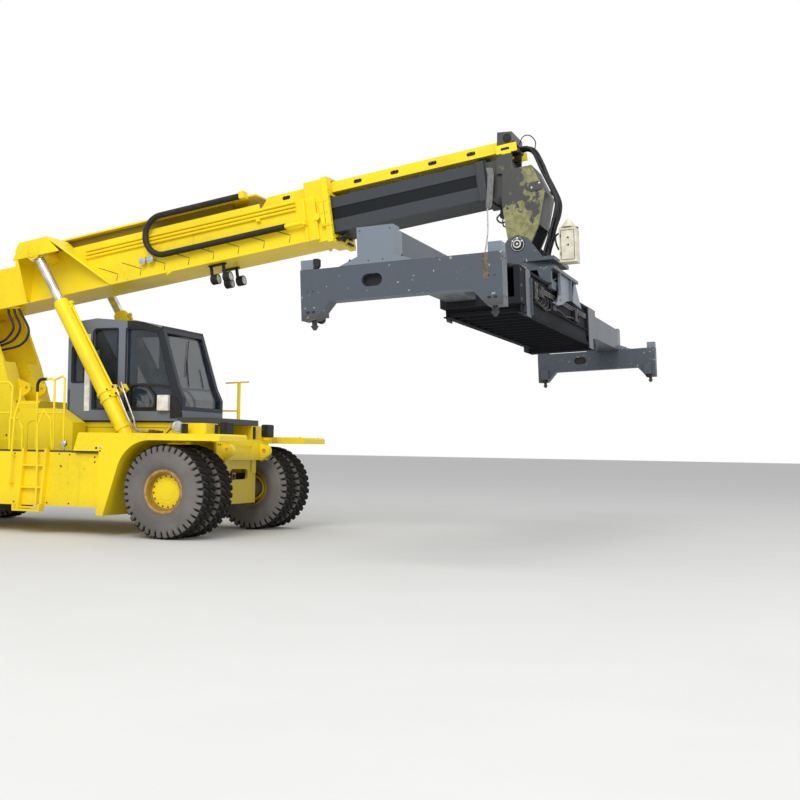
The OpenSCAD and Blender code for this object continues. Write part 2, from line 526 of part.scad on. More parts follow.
// hose loop on the right side: middle of its bend, radius of the bend and of the hose, place in Y
loop_u = 5250;
loop_w = 272.5;
loop_r = 362.5;
hose_r = 55;
hose_y = -560;
module boom_outer() color(YELLOW) place() in_boom() {
  // slide pads in the mouth, under and over the inner box
  box([outer_end - 420, outer_end - 20], [-260, 260], [-outer_low + boom_wall - 1, -inner_low - 0.3]);
  boom_box();
  // duct for the hose tray: walls, roof plate, and the low upstands along the box's edges
  both_sides() {
    box(duct_u, [tray_half + 20, tray_half + 50], [outer_top - 1, roof_w[0] + 1]);
    box([2900, 7200], [outer_half - 10, outer_half], [outer_top - 1, 450]);
    box(collar_u, [tray_half + 50, tray_half + 80], [outer_top - 1, 611]);
  }
  plate_z([[roof_u[0], -outer_half], [roof_u[0], outer_half], [roof_u[1] - 350, outer_half], [roof_u[1], tray_half + 50],
    [roof_u[1], -outer_half]], roof_w);
  box(collar_u, [-tray_half - 80, tray_half + 80], [610, 660]);
  // saddles and end fittings of the hose loop
  for (u = [5600, 6500, 7400]) box([u, u + 60], [hose_y + hose_r + 0.3, -outer_half + 1], [loop_w - loop_r - 30, loop_w - loop_r + 30]);
  box([5600, 5660], [hose_y + hose_r + 0.3, -outer_half + 1], roof_w);
  box([6900.3, 7000], [hose_y - 60, -outer_half + 1], [roof_w[0] - 40, roof_w[1] + 50]);
  rod_x(hose_y, loop_w - loop_r, 38, [7700.3, 8051]);
  box([8050, 8100], [hose_y - 45, -outer_half + 1], [loop_w - loop_r - 45, loop_w - loop_r + 45]);
}
pocket = [[2320, 285], [2540, 585], [3090, 585], [3350, 270]];
module boom_box() difference() {
  union() {
    box([700, outer_end - 300], [-outer_half, outer_half], [-outer_low, outer_top]);
    // rear ends that reach back to the pivot
    both_sides() plate_y([[701, -outer_low], [701, outer_top], [250, 260], [0, 260], [-200, 160],
      [-200, -160], [0, -260], [250, -330]], [outer_half - 110, outer_half]);
    // front flange with two ribs behind it, and the bosses between the ribs
    box([outer_end - 100, outer_end], [-outer_half - 60, outer_half + 60], [-outer_low - 100, 640]);
    box([outer_end - 300, outer_end - 99], [-outer_half, outer_half], [-outer_low - 60, outer_top]);
    both_sides() {
      for (u = [outer_end - 500, outer_end - 300]) box([u, u + 40], [outer_half - 1, outer_half + 60], [-outer_low - 20, 330]);
      rod_y(outer_end - 250, -30, 60, [outer_half - 1, outer_half + 90]);
      // pockets for the lift cylinders: cheek, roof, raked plates in front and behind, bosses
      plate_y(pocket, [cyl_y + eye_half + eye_gap, 1075]);
      box([pocket[1][0] - 25, pocket[2][0] + 30], [outer_half - 1, 1075], [pocket[1][1] - 25, pocket[1][1]]);
      intersection() {
        plate_y([pocket[2], [3960, -385], [4000, -385], pocket[2] + [40, 0]], [outer_half - 1, 1075]);
        plate_z([[3000, outer_half - 1], [3000, 1075], [3110, 1075], [4000, outer_half], [4000, outer_half - 1]], [-400, 600]);
      }
      intersection() {
        plate_y([pocket[1], pocket[0], [2150, -385], [2110, -385], pocket[0] - [40, 0], pocket[1] - [40, 0]], [outer_half - 1, 1075]);
        plate_z([[2600, outer_half - 1], [2600, 1075], [2400, 1075], [2100, outer_half], [2100, outer_half - 1]], [-400, 600]);
      }
      rod_y(lug_u, lug_w, 130, [outer_half - 1, cyl_y - eye_half - eye_gap]);
      rod_y(lug_u, lug_w, 130, [cyl_y + eye_half + eye_gap, 1100]);
    }
  }
  box([1000, outer_end + 10], [-outer_half + boom_wall, outer_half - boom_wall], [-outer_low + boom_wall, outer_top - boom_wall]);
  // passage of the hose tray through the front flange
  box([outer_end - 110, outer_end + 10], [-tray_half - 20, tray_half + 20], [outer_top + 20, 610]);
  rod_y(0, 0, 90.05, [-1000, 1000]);
}
module hose_tray() color(YELLOW) place() in_boom() difference() {
  // channel whose rear end is cut at an angle
  plate_y([[tray_u[0], tray_low], [tray_u[1], tray_low], [tray_u[1], tray_low + 180], [tray_u[0] + 160, tray_low + 180]], [-tray_half, tray_half]);
  box([tray_u[0] - 10, tray_u[1] + 10], [-tray_half + 30, tray_half - 30], [tray_low + 20, tray_low + 300]);
  for (i = [0:5]) slot_y(tray_u[0] + 510 + i * 690, outer_top + 140, 160, 70, [-500, 500]);
}
// three round ledges along each side
module boom_pipes() color(YELLOW) place() in_boom() both_sides() for (w = [330, 262, 194])
  rod_x(outer_half + 26.3, w, 26, [3520, 7900]);
// hose loop: upper run, half turn, lower run
module boom_hose() color(BLACK) place() in_boom() {
  rod_x(hose_y, loop_w + loop_r, hose_r, [loop_u, 6900]);
  rod_x(hose_y, loop_w - loop_r, hose_r, [loop_u, 7700]);
  intersection() {
    translate([loop_u, hose_y, loop_w]) rotate([90, 0, 0]) rotate_extrude($fn = 96) translate([loop_r, 0]) circle(r = hose_r);
    box([loop_u - 500, loop_u], [hose_y - 100, hose_y + 100], [loop_w - 500, loop_w + 500]);
  }
}
// lamps: along the boom, out from its side or under it
module boom_lamps() color(STEEL) place() in_boom() both_sides() {
  for (u = [4760, 4930]) translate([u, outer_half + 0.3, -120]) rotate([-90, 0, 0]) {
    cylinder(r = 40, h = 60);
    translate([0, 0, 59]) cylinder(r = 70, h = 51);
  }
  for (u = [6000, 6250]) translate([u, 250, -outer_low - 250]) {
    translate([-20, -20, 0]) cube([40, 40, 249.7]);
    rod_x(0, -20, 85, [0, 120]);
  }
}

inner_u = [4200, head_u - 395];
module boom_inner() color(DARK) place() in_boom() difference() {
  union() {
    box(inner_u, [-inner_half, inner_half], [-inner_low, inner_top]);
    box([inner_u[1] - 130, inner_u[1]], [-inner_half - 40, inner_half + 40], [-inner_low - 30, inner_top + 10]);
    // seat of the hose tray, and slide pads at the tail
    box([inner_u[1] - 130, inner_u[1]], [-200, 200], [inner_top + 9, tray_low - 0.3]);
    box([inner_u[0], inner_u[0] + 400], [-260, 260], [inner_top - 1, outer_top - boom_wall - 0.3]);
  }
  box([inner_u[0] - 10, inner_u[1] - 60], [-inner_half + boom_wall, inner_half - boom_wall], [-inner_low + boom_wall, inner_top - boom_wall]);
  // recessed middle channel on both sides
  for (s = [-1, 1]) box([inner_u[0] - 10, inner_u[1] - 160], s > 0 ? [inner_half - 12, inner_half + 5] : [-inner_half - 5, -inner_half + 12], [-110, 100]);
}
head_half = 350;
// side plates, bent front plate and roller block; a neck reaches back to the inner box's end
module boom_head() color(DARK) place() {
  in_boom() box([inner_u[1] + 0.3, inner_u[1] + 400], [-head_half + 50, head_half - 50], [-inner_low, inner_top]);
  head_plates();
}
module head_plates() translate([pin_x, 0, pin_z]) difference() {
  union() {
    both_sides() plate_y([[-300, 1250], [190, 1310], [420, 860], [330, 330], [150, -90], [-150, -90], [-230, 300], [-300, 700]],
      [head_half - 60, head_half]);
    // bent front plate
    plate_y([[160, 1310], [190, 1310], [420, 860], [330, 330], [290, 330], [380, 860]], [-head_half, head_half]);
    // roller block over the hose tray, on two cheeks
    both_sides() box([-400, -150], [head_half - 60, head_half], [1200, 1890]);
    box([-400, -150], [-head_half, head_half], [1760, 1890]);
  }
  rod_y(0, 0, 90.05, [-500, 500]);
}

// ---- spreader --------------------------------------------------------------------------------
// everything below the head pin is drawn level, with the origin at the pin, then tilted by on_pin()
ring_z = -420;
// cheeks, head plate, upper half of the slew ring, and the head pin held in the cheeks
module suspension_yoke() color(GREY) place() on_pin() {
  union() {
    both_sides() plate_y([[-420, -260], [-170, 90], [0, 160], [170, 90], [420, -260]], [head_half + 30, head_half + 80]);
    box([-620, 620], [-560, 560], [-320, -259]);
    translate([0, 0, ring_z + 0.3]) cylinder(r = 560, h = 110, $fn = 96);
  }
  rod_y(0, 0, 90, [-470, 470]);
}
runner_x = [470, 640];
module slew_frame() color(GREY) place() on_pin() {
  translate([0, 0, ring_z - 60]) cylinder(r = 590, h = 60, $fn = 96);
  box([-700, 700], [-900, 900], [ring_z - 110, ring_z - 59.7]);
  for (s = [-1, 1]) {
    // runners on the main frame, and the hooks that reach under its side rails
    box(s > 0 ? runner_x : [-runner_x[1], -runner_x[0]], [-900, 900], [arm_top - 5, arm_top + 41]);
    for (y = [-860, 560]) {
      box(s > 0 ? [595, 640] : [-640, -595], [y, y + 300], [-835, arm_top + 1]);
      box(s > 0 ? [560, 600] : [-600, -560], [y, y + 300], [-835, -795]);
    }
    // posts and raked braces between the plate and the runners
    for (y = [-900, -40, 820]) box(s > 0 ? [580, 640] : [-640, -580], [y, y + 80], [arm_top + 40, ring_z - 109]);
    for (m = [-1, 1]) plate_x([[m * 815, arm_top + 40], [m * 735, arm_top + 40], [m * 60, ring_z - 109], [m * 140, ring_z - 109]],
      s > 0 ? [600, 630] : [-630, -600]);
    // stiff triangles at the plate's ends
    for (y = [-899, 870]) plate_y([[s * 590, arm_top + 40], [s * 470, arm_top + 40], [s * 420, ring_z - 109], [s * 590, ring_z - 109]], [y, y + 29]);
  }
}
module slew_motors() color(BLACK) place() on_pin() for (y = [-400, 400])
  translate([0, y, ring_z - 320]) cylinder(r = 110, h = 209.7);
arm_top = -740;
arm_x = 275;
module spreader_main() color(GREY) place() on_pin() {
  difference() {
    union() {
      box([-arm_x - arm_w / 2 - 45, arm_x + arm_w / 2 + 45], [-2750, 2750], [arm_top - arm_w - 45, arm_top - 5.3]);
      // rails that the slew frame's hooks hold
      for (s = [-1, 1]) box(s > 0 ? [549, 590] : [-590, -549], [-2100, 2100], [-790, arm_top - 5.3]);
      // long openings' rims and the ribs on top, clear of the slew frame's way
      for (y = [-2050, 1750]) box([-200, 200], [y, y + 300], [arm_top - 6, arm_top + 60]);
      for (y = [-2750, 2100]) box([-arm_x - arm_w / 2 - 95, arm_x + arm_w / 2 + 95], [y, y + 650], [arm_top - arm_w - 95, arm_top - 10]);
    }
    for (s = [-1, 1]) box([s * arm_x - arm_w / 2 - 10, s * arm_x + arm_w / 2 + 10], [-3000, 3000], [arm_top - arm_w - 5.3, arm_top - 35]);
  }
}
end_h = 400;
beam_top = -1190;
module spreader_end(side) color(GREY) place() on_pin() {
  ax = side < 0 ? -arm_x : arm_x;
  ym = side * end_y;
  // telescopic arm, a closed box
  difference() {
    box([ax - arm_w / 2, ax + arm_w / 2], side < 0 ? [ym + 105, -450] : [450, ym - 105], [arm_top - arm_w - 5, arm_top - 45]);
    box([ax - arm_w / 2 + 20, ax + arm_w / 2 - 20], side < 0 ? [ym + 400, -440] : [440, ym - 400], [arm_top - arm_w + 15, arm_top - 65]);
  }
  // end plate with its gussets
  plate_y([[ax - arm_w / 2 - 240, beam_top + 1], [ax - arm_w / 2, arm_top - 350], [ax - arm_w / 2, arm_top - 5],
    [ax + arm_w / 2, arm_top - 5], [ax + arm_w / 2, arm_top - 350], [ax + arm_w / 2 + 240, beam_top + 1]], [ym - 106, ym + 106]);
  // end beam with a leg down to the lock at each end
  difference() {
    plate_y([[-1255, beam_top], [1255, beam_top], [1255, beam_top - 610], [1070, beam_top - 610], [880, beam_top - end_h],
      [-880, beam_top - end_h], [-1070, beam_top - 610], [-1255, beam_top - 610]], [ym - 106, ym + 106]);
    translate([-330, 0, beam_top - 190]) rotate([90, 0, 0]) translate([0, 0, -7000]) linear_extrude(14000)
      union() { square([110, 150], center = true); for (s = [-1, 1]) translate([s * 55, 0]) circle(r = 75); }
  }
  for (x = [-1250, 1090]) box([x, x + 160], [ym - 90, ym + 90], [beam_top - 1, beam_top + 120]);
  // guide blocks beside the legs
  for (x = [-1180, 1020]) box([x, x + 160], side < 0 ? [ym + 105, ym + 190] : [ym - 190, ym - 105], [beam_top - 560, beam_top - 330]);
}
module locks(side) color(DARK) place() on_pin() for (s = [-1, 1])
  translate([s * lock_span / 2, side * end_y, beam_top - 610.3]) {
    translate([0, 0, -60]) cylinder(r = 32, h = 60);
    translate([0, 0, -110]) cylinder(r1 = 20, r2 = 50, h = 51);
  }
module beacon_box() color([0.85, 0.82, 0.70]) place() on_pin() {
  box([620.3, 900], [-140, 140], [-310, 260]);
  translate([760, 0, 260]) cylinder(r1 = 150, r2 = 20, h = 160);
}

chassis_frame();
boom_tower();
pivot_pins();
front_fenders();
side_boxes();
side_decks();
drive_axle();
steer_axle();
counterweight();
engine_block();
engine_hood();
exhaust_stack();
cab_shell();
cab_base();
cab_windows();
cab_door();
cab_door_glass();
operator_seat();
cab_controls();
access_rails();
head_lamps();
drive_tyres(1);  // drive_tyres_left
drive_tyres(-1);  // drive_tyres_right
drive_rims(1);  // drive_rims_left
drive_rims(-1);  // drive_rims_right
steer_knuckle(1);  // steer_knuckle_left
steer_knuckle(-1);  // steer_knuckle_right
steer_tyre(1);  // steer_tyre_left
steer_tyre(-1);  // steer_tyre_right
steer_rim(1);  // steer_rim_left
steer_rim(-1);  // steer_rim_right
lift_barrel(1);  // lift_barrel_left
lift_barrel(-1);  // lift_barrel_right
lift_rod(1);  // lift_rod_left
lift_rod(-1);  // lift_rod_right
boom_outer();
boom_pipes();
boom_lamps();
boom_hose();
boom_inner();
hose_tray();
boom_head();
suspension_yoke();
slew_frame();
slew_motors();
spreader_main();
spreader_end(1);  // spreader_end_left
spreader_end(-1);  // spreader_end_right
locks(1);  // locks_left
locks(-1);  // locks_right
beacon_box();
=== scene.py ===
# %% [markdown]
# # A reach stacker, from imported CAD parts to a picture
# The frame holds every solid of the machine. This lesson gives each one a procedural material, adds
# what a solid doesn't show (tread, bolts, hoses, seams, lenses), and sets up lamps and a camera for
# one picture of it.
# Lengths are metres, X points forward, Y to the driver's left, Z up, and the ground is at Z = 0.
# No shape is modelled by hand: each is a formula on arrays, so a changed number changes the machine.

# %% Tools
import json
import math

import bpy
import numpy as np
from mathutils import Matrix


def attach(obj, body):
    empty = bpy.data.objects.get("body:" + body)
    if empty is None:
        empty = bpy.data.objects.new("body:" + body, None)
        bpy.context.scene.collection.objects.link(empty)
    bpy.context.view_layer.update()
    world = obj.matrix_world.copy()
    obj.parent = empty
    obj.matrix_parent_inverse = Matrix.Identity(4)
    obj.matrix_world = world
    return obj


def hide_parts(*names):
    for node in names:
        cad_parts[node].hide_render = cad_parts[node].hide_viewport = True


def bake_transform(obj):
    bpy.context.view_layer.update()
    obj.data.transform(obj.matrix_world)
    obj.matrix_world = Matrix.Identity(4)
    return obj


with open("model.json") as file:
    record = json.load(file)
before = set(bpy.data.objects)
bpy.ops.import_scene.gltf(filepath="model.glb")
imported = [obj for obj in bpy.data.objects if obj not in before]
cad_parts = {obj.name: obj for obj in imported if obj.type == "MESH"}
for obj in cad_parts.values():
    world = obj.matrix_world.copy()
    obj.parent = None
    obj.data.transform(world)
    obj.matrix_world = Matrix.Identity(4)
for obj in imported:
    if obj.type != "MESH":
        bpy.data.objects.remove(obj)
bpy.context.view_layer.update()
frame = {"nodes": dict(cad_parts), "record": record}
NODES = frame["nodes"]

# %% [markdown]
# ## Shader maths
# A pattern such as a worn patch is arithmetic on noise and on places. In the node editor that means a
# Math node for each sign. `Val` wraps a socket and adds those nodes by itself, so a pattern is written
# as a formula, `(a * 3 + b).min(1)`, and can be read as one.

# %% Shader maths
def operator(name, swap=False):
    """A method that adds the Math node of this name. swap puts the socket after the number."""
    return lambda self, *others: self.math(name, *others, swap=swap)


class Val:
    """A number in a material. Python's signs add Math nodes."""

    def __init__(self, mat, socket):
        self.mat, self.socket = mat, socket

    def math(self, operation, *others, swap=False):
        node = self.mat.node("ShaderNodeMath", {"operation": operation})
        values = [self, *others]
        if swap:
            values.reverse()
        for slot, value in zip(node.inputs, values):
            self.mat.put(slot, value)
        return Val(self.mat, node.outputs[0])

    __add__ = __radd__ = operator("ADD")
    __sub__ = operator("SUBTRACT")
    __rsub__ = operator("SUBTRACT", swap=True)
    __mul__ = __rmul__ = operator("MULTIPLY")
    __pow__ = operator("POWER")
    __gt__ = operator("GREATER_THAN")
    __lt__ = operator("LESS_THAN")
    abs = operator("ABSOLUTE")
    min = operator("MINIMUM")

    def ramp(self, low, high):
        """0 below low, 1 above high, smooth between."""
        node = self.mat.node("ShaderNodeMapRange", {"interpolation_type": "SMOOTHSTEP"},
                             {"Value": self, "From Min": low, "From Max": high})
        return Val(self.mat, node.outputs["Result"])


print("signs that add nodes: + - * ** > <")

# %% [markdown]
# ## A material
# `Mat` holds one material, its node tree and its Principled shader. It adds the few nodes that the
# finishes need (noise, a mix of two colours, a bump) and hands out the place on the object as numbers,
# so that a finish below can be read as formulas. The object's own coordinates are used, because they
# move with a body and survive a change of camera.

# %% A material
class Mat:
    """A material: its node tree and one Principled shader."""

    def __init__(self, name, slot=None, **base):
        self.slot = slot or name
        self.material = bpy.data.materials.new(name)
        self.material.use_nodes = True
        self.tree = self.material.node_tree
        self.shader = self.tree.nodes["Principled BSDF"]
        for key, value in base.items():
            self.put(self.shader.inputs[key.replace("_", " ")], value)
        self.coords = self.node("ShaderNodeTexCoord").outputs["Object"]

    def node(self, kind, settings=None, inputs=None):
        """Any node: its type, its settings, then the values or links of its sockets."""
        made = self.tree.nodes.new(kind)
        for key, value in (settings or {}).items():
            setattr(made, key, value)
        for key, value in (inputs or {}).items():
            self.put(made.inputs[key], value)
        return made

    def put(self, slot, value):
        """A constant is set on the socket, a Val or socket is linked to it."""
        if isinstance(value, Val):
            value = value.socket
        if isinstance(value, bpy.types.NodeSocket):
            self.tree.links.new(value, slot)
        elif isinstance(value, (tuple, list)) and len(value) == 3 and slot.type == "RGBA":
            slot.default_value = (*value, 1.0)
        else:
            slot.default_value = value

    def xyz(self):
        """The place on the object, in metres of the row frame, as three numbers."""
        parts = self.node("ShaderNodeSeparateXYZ", inputs={0: self.coords})
        return [Val(self, parts.outputs[i]) for i in range(3)]

    def at(self, x, y, z):
        """A vector of three numbers, for a pattern that is stretched."""
        return self.node("ShaderNodeCombineXYZ", inputs={0: x, 1: y, 2: z}).outputs[0]

    def noise(self, scale, detail=3.0, rough=0.55, vector=None):
        """Soft noise about 0.5, with scale patches to the metre."""
        made = self.node("ShaderNodeTexNoise", inputs={"Vector": vector or self.coords, "Scale": scale,
                                                       "Detail": detail, "Roughness": rough})
        return Val(self, made.outputs["Factor" if "Factor" in made.outputs else "Fac"])

    def attribute(self, name):
        """A number kept at the mesh's own points."""
        return Val(self, self.node("ShaderNodeAttribute", {"attribute_name": name}).outputs["Fac"])

    def mix(self, share, a, b):
        """Colour a where share is 0, colour b where it is 1."""
        made = self.node("ShaderNodeMix", {"data_type": "RGBA"})
        self.put(made.inputs[0], share)
        self.put(made.inputs[6], a)
        self.put(made.inputs[7], b)
        return made.outputs[2]

    def set(self, **values):
        """Sockets of the shader, with _ for a space in their names."""
        for key, value in values.items():
            self.put(self.shader.inputs[key.replace("_", " ")], value)
        return self

    def bump(self, height, strength, distance=0.01):
        """Small relief that only shading shows; distance is its height in metres."""
        made = self.node("ShaderNodeBump", inputs={"Height": height, "Strength": strength,
                                                   "Distance": distance})
        return self.set(Normal=made.outputs["Normal"])


print("materials can be built, now", len(bpy.data.materials), "in the file")

# %% [markdown]
# ## Colours as they look
# A colour picked by eye is written 0 to 255, and the shader wants linear light. The formula between
# the two is the sRGB standard's: a straight piece near black and a power of 2.4 above it.

# %% Colours as they look
def srgb(r, g, b):
    """A colour written as it looks, 0 to 255, as linear light."""
    shares = (r / 255, g / 255, b / 255)
    return tuple(float(v / 12.92 if v <= 0.04045 else ((v + 0.055) / 1.055) ** 2.4) for v in shares)


print("mid grey is", round(srgb(128, 128, 128)[0], 3), "of white in linear light")

# %% [markdown]
# ## Places
# The machine is drawn in millimetres from its drive axle. Boom, lift cylinders and spreader stand at an
# angle, so each has a frame of its own: a function that turns points (along, across, up) of that frame
# into metres of the row frame. A bolt on the boom is then written where a ruler on the boom would find
# it. Parented and turned objects would do the same, but a finished piece has to sit at the origin with
# its place in its mesh, so that patterns and the export agree.

# %% Places
# in millimetres: the drive axle's X in the row frame, (X, Z) and degrees of each frame, the axles
DRIVE_AXLE_X = 416.1302
PIVOT, BOOM_ANGLE = (-6200.0, 4330.0), 8.8
PIN, TILT = (5570.2548, 4939.8613), 3.0
FOOT, CYLINDER_ANGLE, CYLINDER_Y = (-1000.0, 1000.0), 121.42952, 950.0
AXLE_Z, STEER_X = 795.0, -6000.0


def framed(origin, degrees, y0=0.0):
    """(along, across, up) turned by the angle about Y, then moved to the origin."""
    c, s = math.cos(math.radians(degrees)), math.sin(math.radians(degrees))

    def place(p):
        x, y, z = np.moveaxis(np.asarray(p, float), -1, 0)
        ahead, up = x * c - z * s + origin[0] + DRIVE_AXLE_X, x * s + z * c + origin[1]
        return np.stack([ahead, y + y0, up], -1) / 1000
    return place


on_chassis = framed((0, 0), 0)
on_boom = framed(PIVOT, BOOM_ANGLE)
on_spreader = framed(PIN, TILT)
on_head = framed(PIN, 0)
on_barrel = {side: framed(FOOT, CYLINDER_ANGLE, side * CYLINDER_Y) for side in (-1, 1)}
SIDES = {-1: "right", 1: "left"}
print("head pin at", on_head([0, 0, 0]).round(3))

# %% [markdown]
# ## Paints that have worked outdoors
# The machine is sprayed yellow, its inner boom and spreader dark grey, and it has worked outdoors for
# years. A picture wrapped round it would show seams, so every paint is worked out instead: a base that
# drifts a little, dirt in soft patches and near the ground, streaks that run down, and chips where the
# metal shows. One function builds them all, and each paint only names its colours.

# %% Paint
def paint(name, base, dirt=srgb(120, 104, 80), chip=srgb(92, 62, 44), rough=0.38, grime=0.35,
          chips=0.62, low=1.2, shine=0.3, slot=None):
    """grime is the share of dirt, chips the noise above which metal shows, low the height of splashes."""
    m = Mat(name, slot)
    x, y, z = m.xyz()
    broad = m.noise(0.9, 4.0)
    fine = m.noise(14.0, 5.0, 0.65)
    streak = m.noise(1.0, 3.0, 0.6, m.at(x * 9.0, y * 9.0, z * 0.7))
    colour = m.mix(broad.ramp(0.3, 0.75) * 0.16, base, tuple(0.72 * c for c in base))
    patches = (broad * 0.6 + fine * 0.4).ramp(0.46, 0.70) * grime
    near_ground = z.ramp(low, 0.0) * 0.45 if low else 0.0
    colour = m.mix((patches + near_ground).min(0.85), colour, dirt)
    colour = m.mix(streak.ramp(0.60, 0.78) * grime * 0.8, colour, tuple(0.6 * d for d in dirt))
    worn = (fine * 0.75 + broad * 0.25).ramp(chips, chips + 0.03)
    m.colour = m.mix(worn, colour, chip)
    m.set(Base_Color=m.colour, Roughness=(rough + patches * 0.5 + worn * 0.2).min(0.95))
    m.set(Specular_IOR_Level=shine)
    m.bump(fine - worn * 0.6, 0.12, 0.004)
    return m


yellow = paint("yellow_paint", srgb(254, 224, 30), dirt=srgb(150, 118, 50), grime=0.16, chips=0.66, low=0.8)
print(yellow.material.name, "has", len(yellow.tree.nodes), "nodes")

# %% [markdown]
# ## Greys of boom, spreader and cab
# Colours are written as they look in plain light. The dark paints get a low specular level, because
# the white studio mirrored in their gloss would turn them pale. A material that shares its slot with
# another is a second look of the same paint, so the part's record still knows it by its slot. The
# main frame's look of the spreader paint is far darker than the rest: that dark is painted shade.

# %% Greys of boom, spreader and cab
spreader = paint("spreader_paint", srgb(78, 85, 94), dirt=srgb(96, 95, 93), chip=srgb(176, 176, 170),
                 grime=0.25, chips=0.61, low=None)
grey_plate = paint("light_spreader_paint", srgb(122, 132, 142), dirt=srgb(112, 110, 106),
                   chip=srgb(70, 70, 70), grime=0.25, chips=0.62, low=None, slot="spreader_paint")
# the main frame's look: the spreader paint made far darker, which is painted shade over the frame
frame_shaded = paint("spreader_frame_shaded_paint", srgb(38, 40, 45), dirt=srgb(52, 48, 46),
                   chip=srgb(104, 96, 86), rough=0.7, grime=0.4, chips=0.66, low=None, shine=0.06,
                   slot="spreader_paint")
boom_dark = paint("boom_dark_paint", srgb(68, 71, 75), dirt=srgb(84, 84, 82), chip=srgb(120, 118, 110),
                  rough=0.5, grime=0.3, chips=0.66, low=None, shine=0.12)
dark_steel = paint("dark_steel", srgb(62, 64, 68), dirt=srgb(104, 94, 80), grime=0.4, chips=0.68)
cab_grey = paint("cab_grey", srgb(112, 121, 132), dirt=srgb(120, 118, 112), chip=srgb(80, 78, 74),
                 grime=0.2, chips=0.70)
cast_grey = paint("cast_grey", srgb(84, 82, 78), dirt=srgb(96, 82, 64), grime=0.6, chips=0.62, rough=0.6)
print("paints:", [m.name for m in bpy.data.materials])

# %% [markdown]
# ## Marks that belong to a place
# Some marks aren't spread evenly: the inner box's side channel and the duct under the roof are filled
# with a dark colour that is oily dirt and painted shade together, road dust covers the plate between
# the front wheels, and the spreader's feet are brown. Every CAD node keeps its place in its mesh, so a
# mask is only a comparison of coordinates. No image and no painted map is needed, and the marks stay
# where they are when the boom moves.

# %% Marks that belong to a place
def tilted(coat, origin, degrees):
    """Metres in a tilted frame, from its origin: along x c + z s, above z c - x s, and across |y|."""
    x, y, z = coat.xyz()
    ahead, up = x - (origin[0] + DRIVE_AXLE_X) / 1000, z - origin[1] / 1000
    c, s = math.cos(math.radians(degrees)), math.sin(math.radians(degrees))
    return ahead * c + up * s, up * c - ahead * s, y.abs()


along, above, across = tilted(spreader, PIN, TILT)
gusset, foot = (above > -1.185) * (across > 5.8), above.ramp(-1.678, -1.797) * (across > 5.8)
end_colour = spreader.mix(gusset * 0.8, spreader.colour, srgb(124, 134, 144))
spreader.set(Base_Color=spreader.mix(foot * 0.6, end_colour, srgb(74, 60, 50)))

# (paint, lowest and highest level, far end along the boom, colour of the oily dirt and painted shade)
for coat, bottom, top, end, oil_and_shade in ((boom_dark, -0.108, 0.098, 11.17, srgb(13, 15, 19)),
                                    (yellow, 0.375, 0.618, 7.14, srgb(88, 70, 26))):
    along, above, across = tilted(coat, PIVOT, BOOM_ANGLE)
    # the recess under the duct's roof and the inner box's side channel: oily dirt with painted shade
    shaded_recess = (above > bottom) * (above < top) * (along > 1.9) * (along < end) * (across < 0.42)
    coat.colour = coat.mix(shaded_recess * 0.85, coat.colour, oil_and_shade)
    coat.set(Base_Color=coat.colour)

x, y, z = yellow.xyz()
dusty = (x > 0.55) * (y.abs() < 1.0) * z.ramp(1.62, 1.25) * 0.6
yellow.set(Base_Color=yellow.mix(dusty, yellow.colour, srgb(128, 116, 66)))

x, y, z = cab_grey.xyz()
dark_front = (x > -1.222) * (z > 2.195)
cab_grey.set(Base_Color=cab_grey.mix(dark_front, cab_grey.colour, srgb(34, 38, 46)))
print("placed marks on", [coat.material.name for coat in (spreader, boom_dark, yellow, cab_grey)])

# %% [markdown]
# ## Metal, rubber, plastic and glass
# The finishes that aren't paint need less: two close colours and a roughness that drift together with
# one noise. Bare steel is metallic, chrome is metallic and smooth, rubber is rough, and the panes are
# dark, smooth and half clear, because the cab behind them is dark too.

# %% Metal, rubber, plastic and glass
def plain(name, base, second, scale=8.0, rough=0.5, spread=0.15, metal=0.0, bump=0.1, **more):
    """A finish whose colour and roughness drift between two close values."""
    m = Mat(name, Metallic=metal, **more)
    n = m.noise(scale, 4.0)
    m.set(Base_Color=m.mix(n.ramp(0.35, 0.65), base, second), Roughness=rough + (n - 0.5) * spread)
    if bump:
        m.bump(n, bump, 0.003)
    return m


pin_steel = plain("pin_steel", srgb(150, 150, 150), srgb(110, 104, 96), 12, 0.35, 0.2, 0.9)
rod_chrome = plain("rod_chrome", srgb(226, 226, 224), srgb(190, 188, 184), 5, 0.16, 0.12, 0.85, 0.02)
rubber = plain("tyre", srgb(112, 107, 101), srgb(84, 80, 76), 5, 0.9, 0.1)
black = plain("black_plastic", srgb(26, 26, 28), srgb(40, 39, 38), 16, 0.55, 0.2, Specular_IOR_Level=0.3)
hose_black = plain("hose_rubber", srgb(24, 24, 26), srgb(42, 40, 38), 22, 0.55, 0.2,
                   Specular_IOR_Level=0.35)
seat_cloth = plain("seat_fabric", srgb(40, 41, 46), srgb(52, 53, 58), 90, 0.92, 0.05, bump=0.25)
lamp_metal = plain("lamp_metal", srgb(214, 214, 210), srgb(176, 174, 170), 9, 0.22, 0.15, 0.8)
cream = plain("cream_plastic", srgb(228, 222, 202), srgb(206, 198, 174), 7, 0.5, 0.2)
worn_grey = plain("worn_grey", srgb(118, 118, 116), srgb(92, 92, 92), 9, 0.6, 0.2, slot="dark_steel")
glass = plain("window_glass", srgb(34, 48, 60), srgb(48, 62, 74), 3, 0.06, 0.04, 0.0, 0.0,
              Alpha=0.5, Coat_Weight=0.6)
print("finishes:", len(bpy.data.materials))
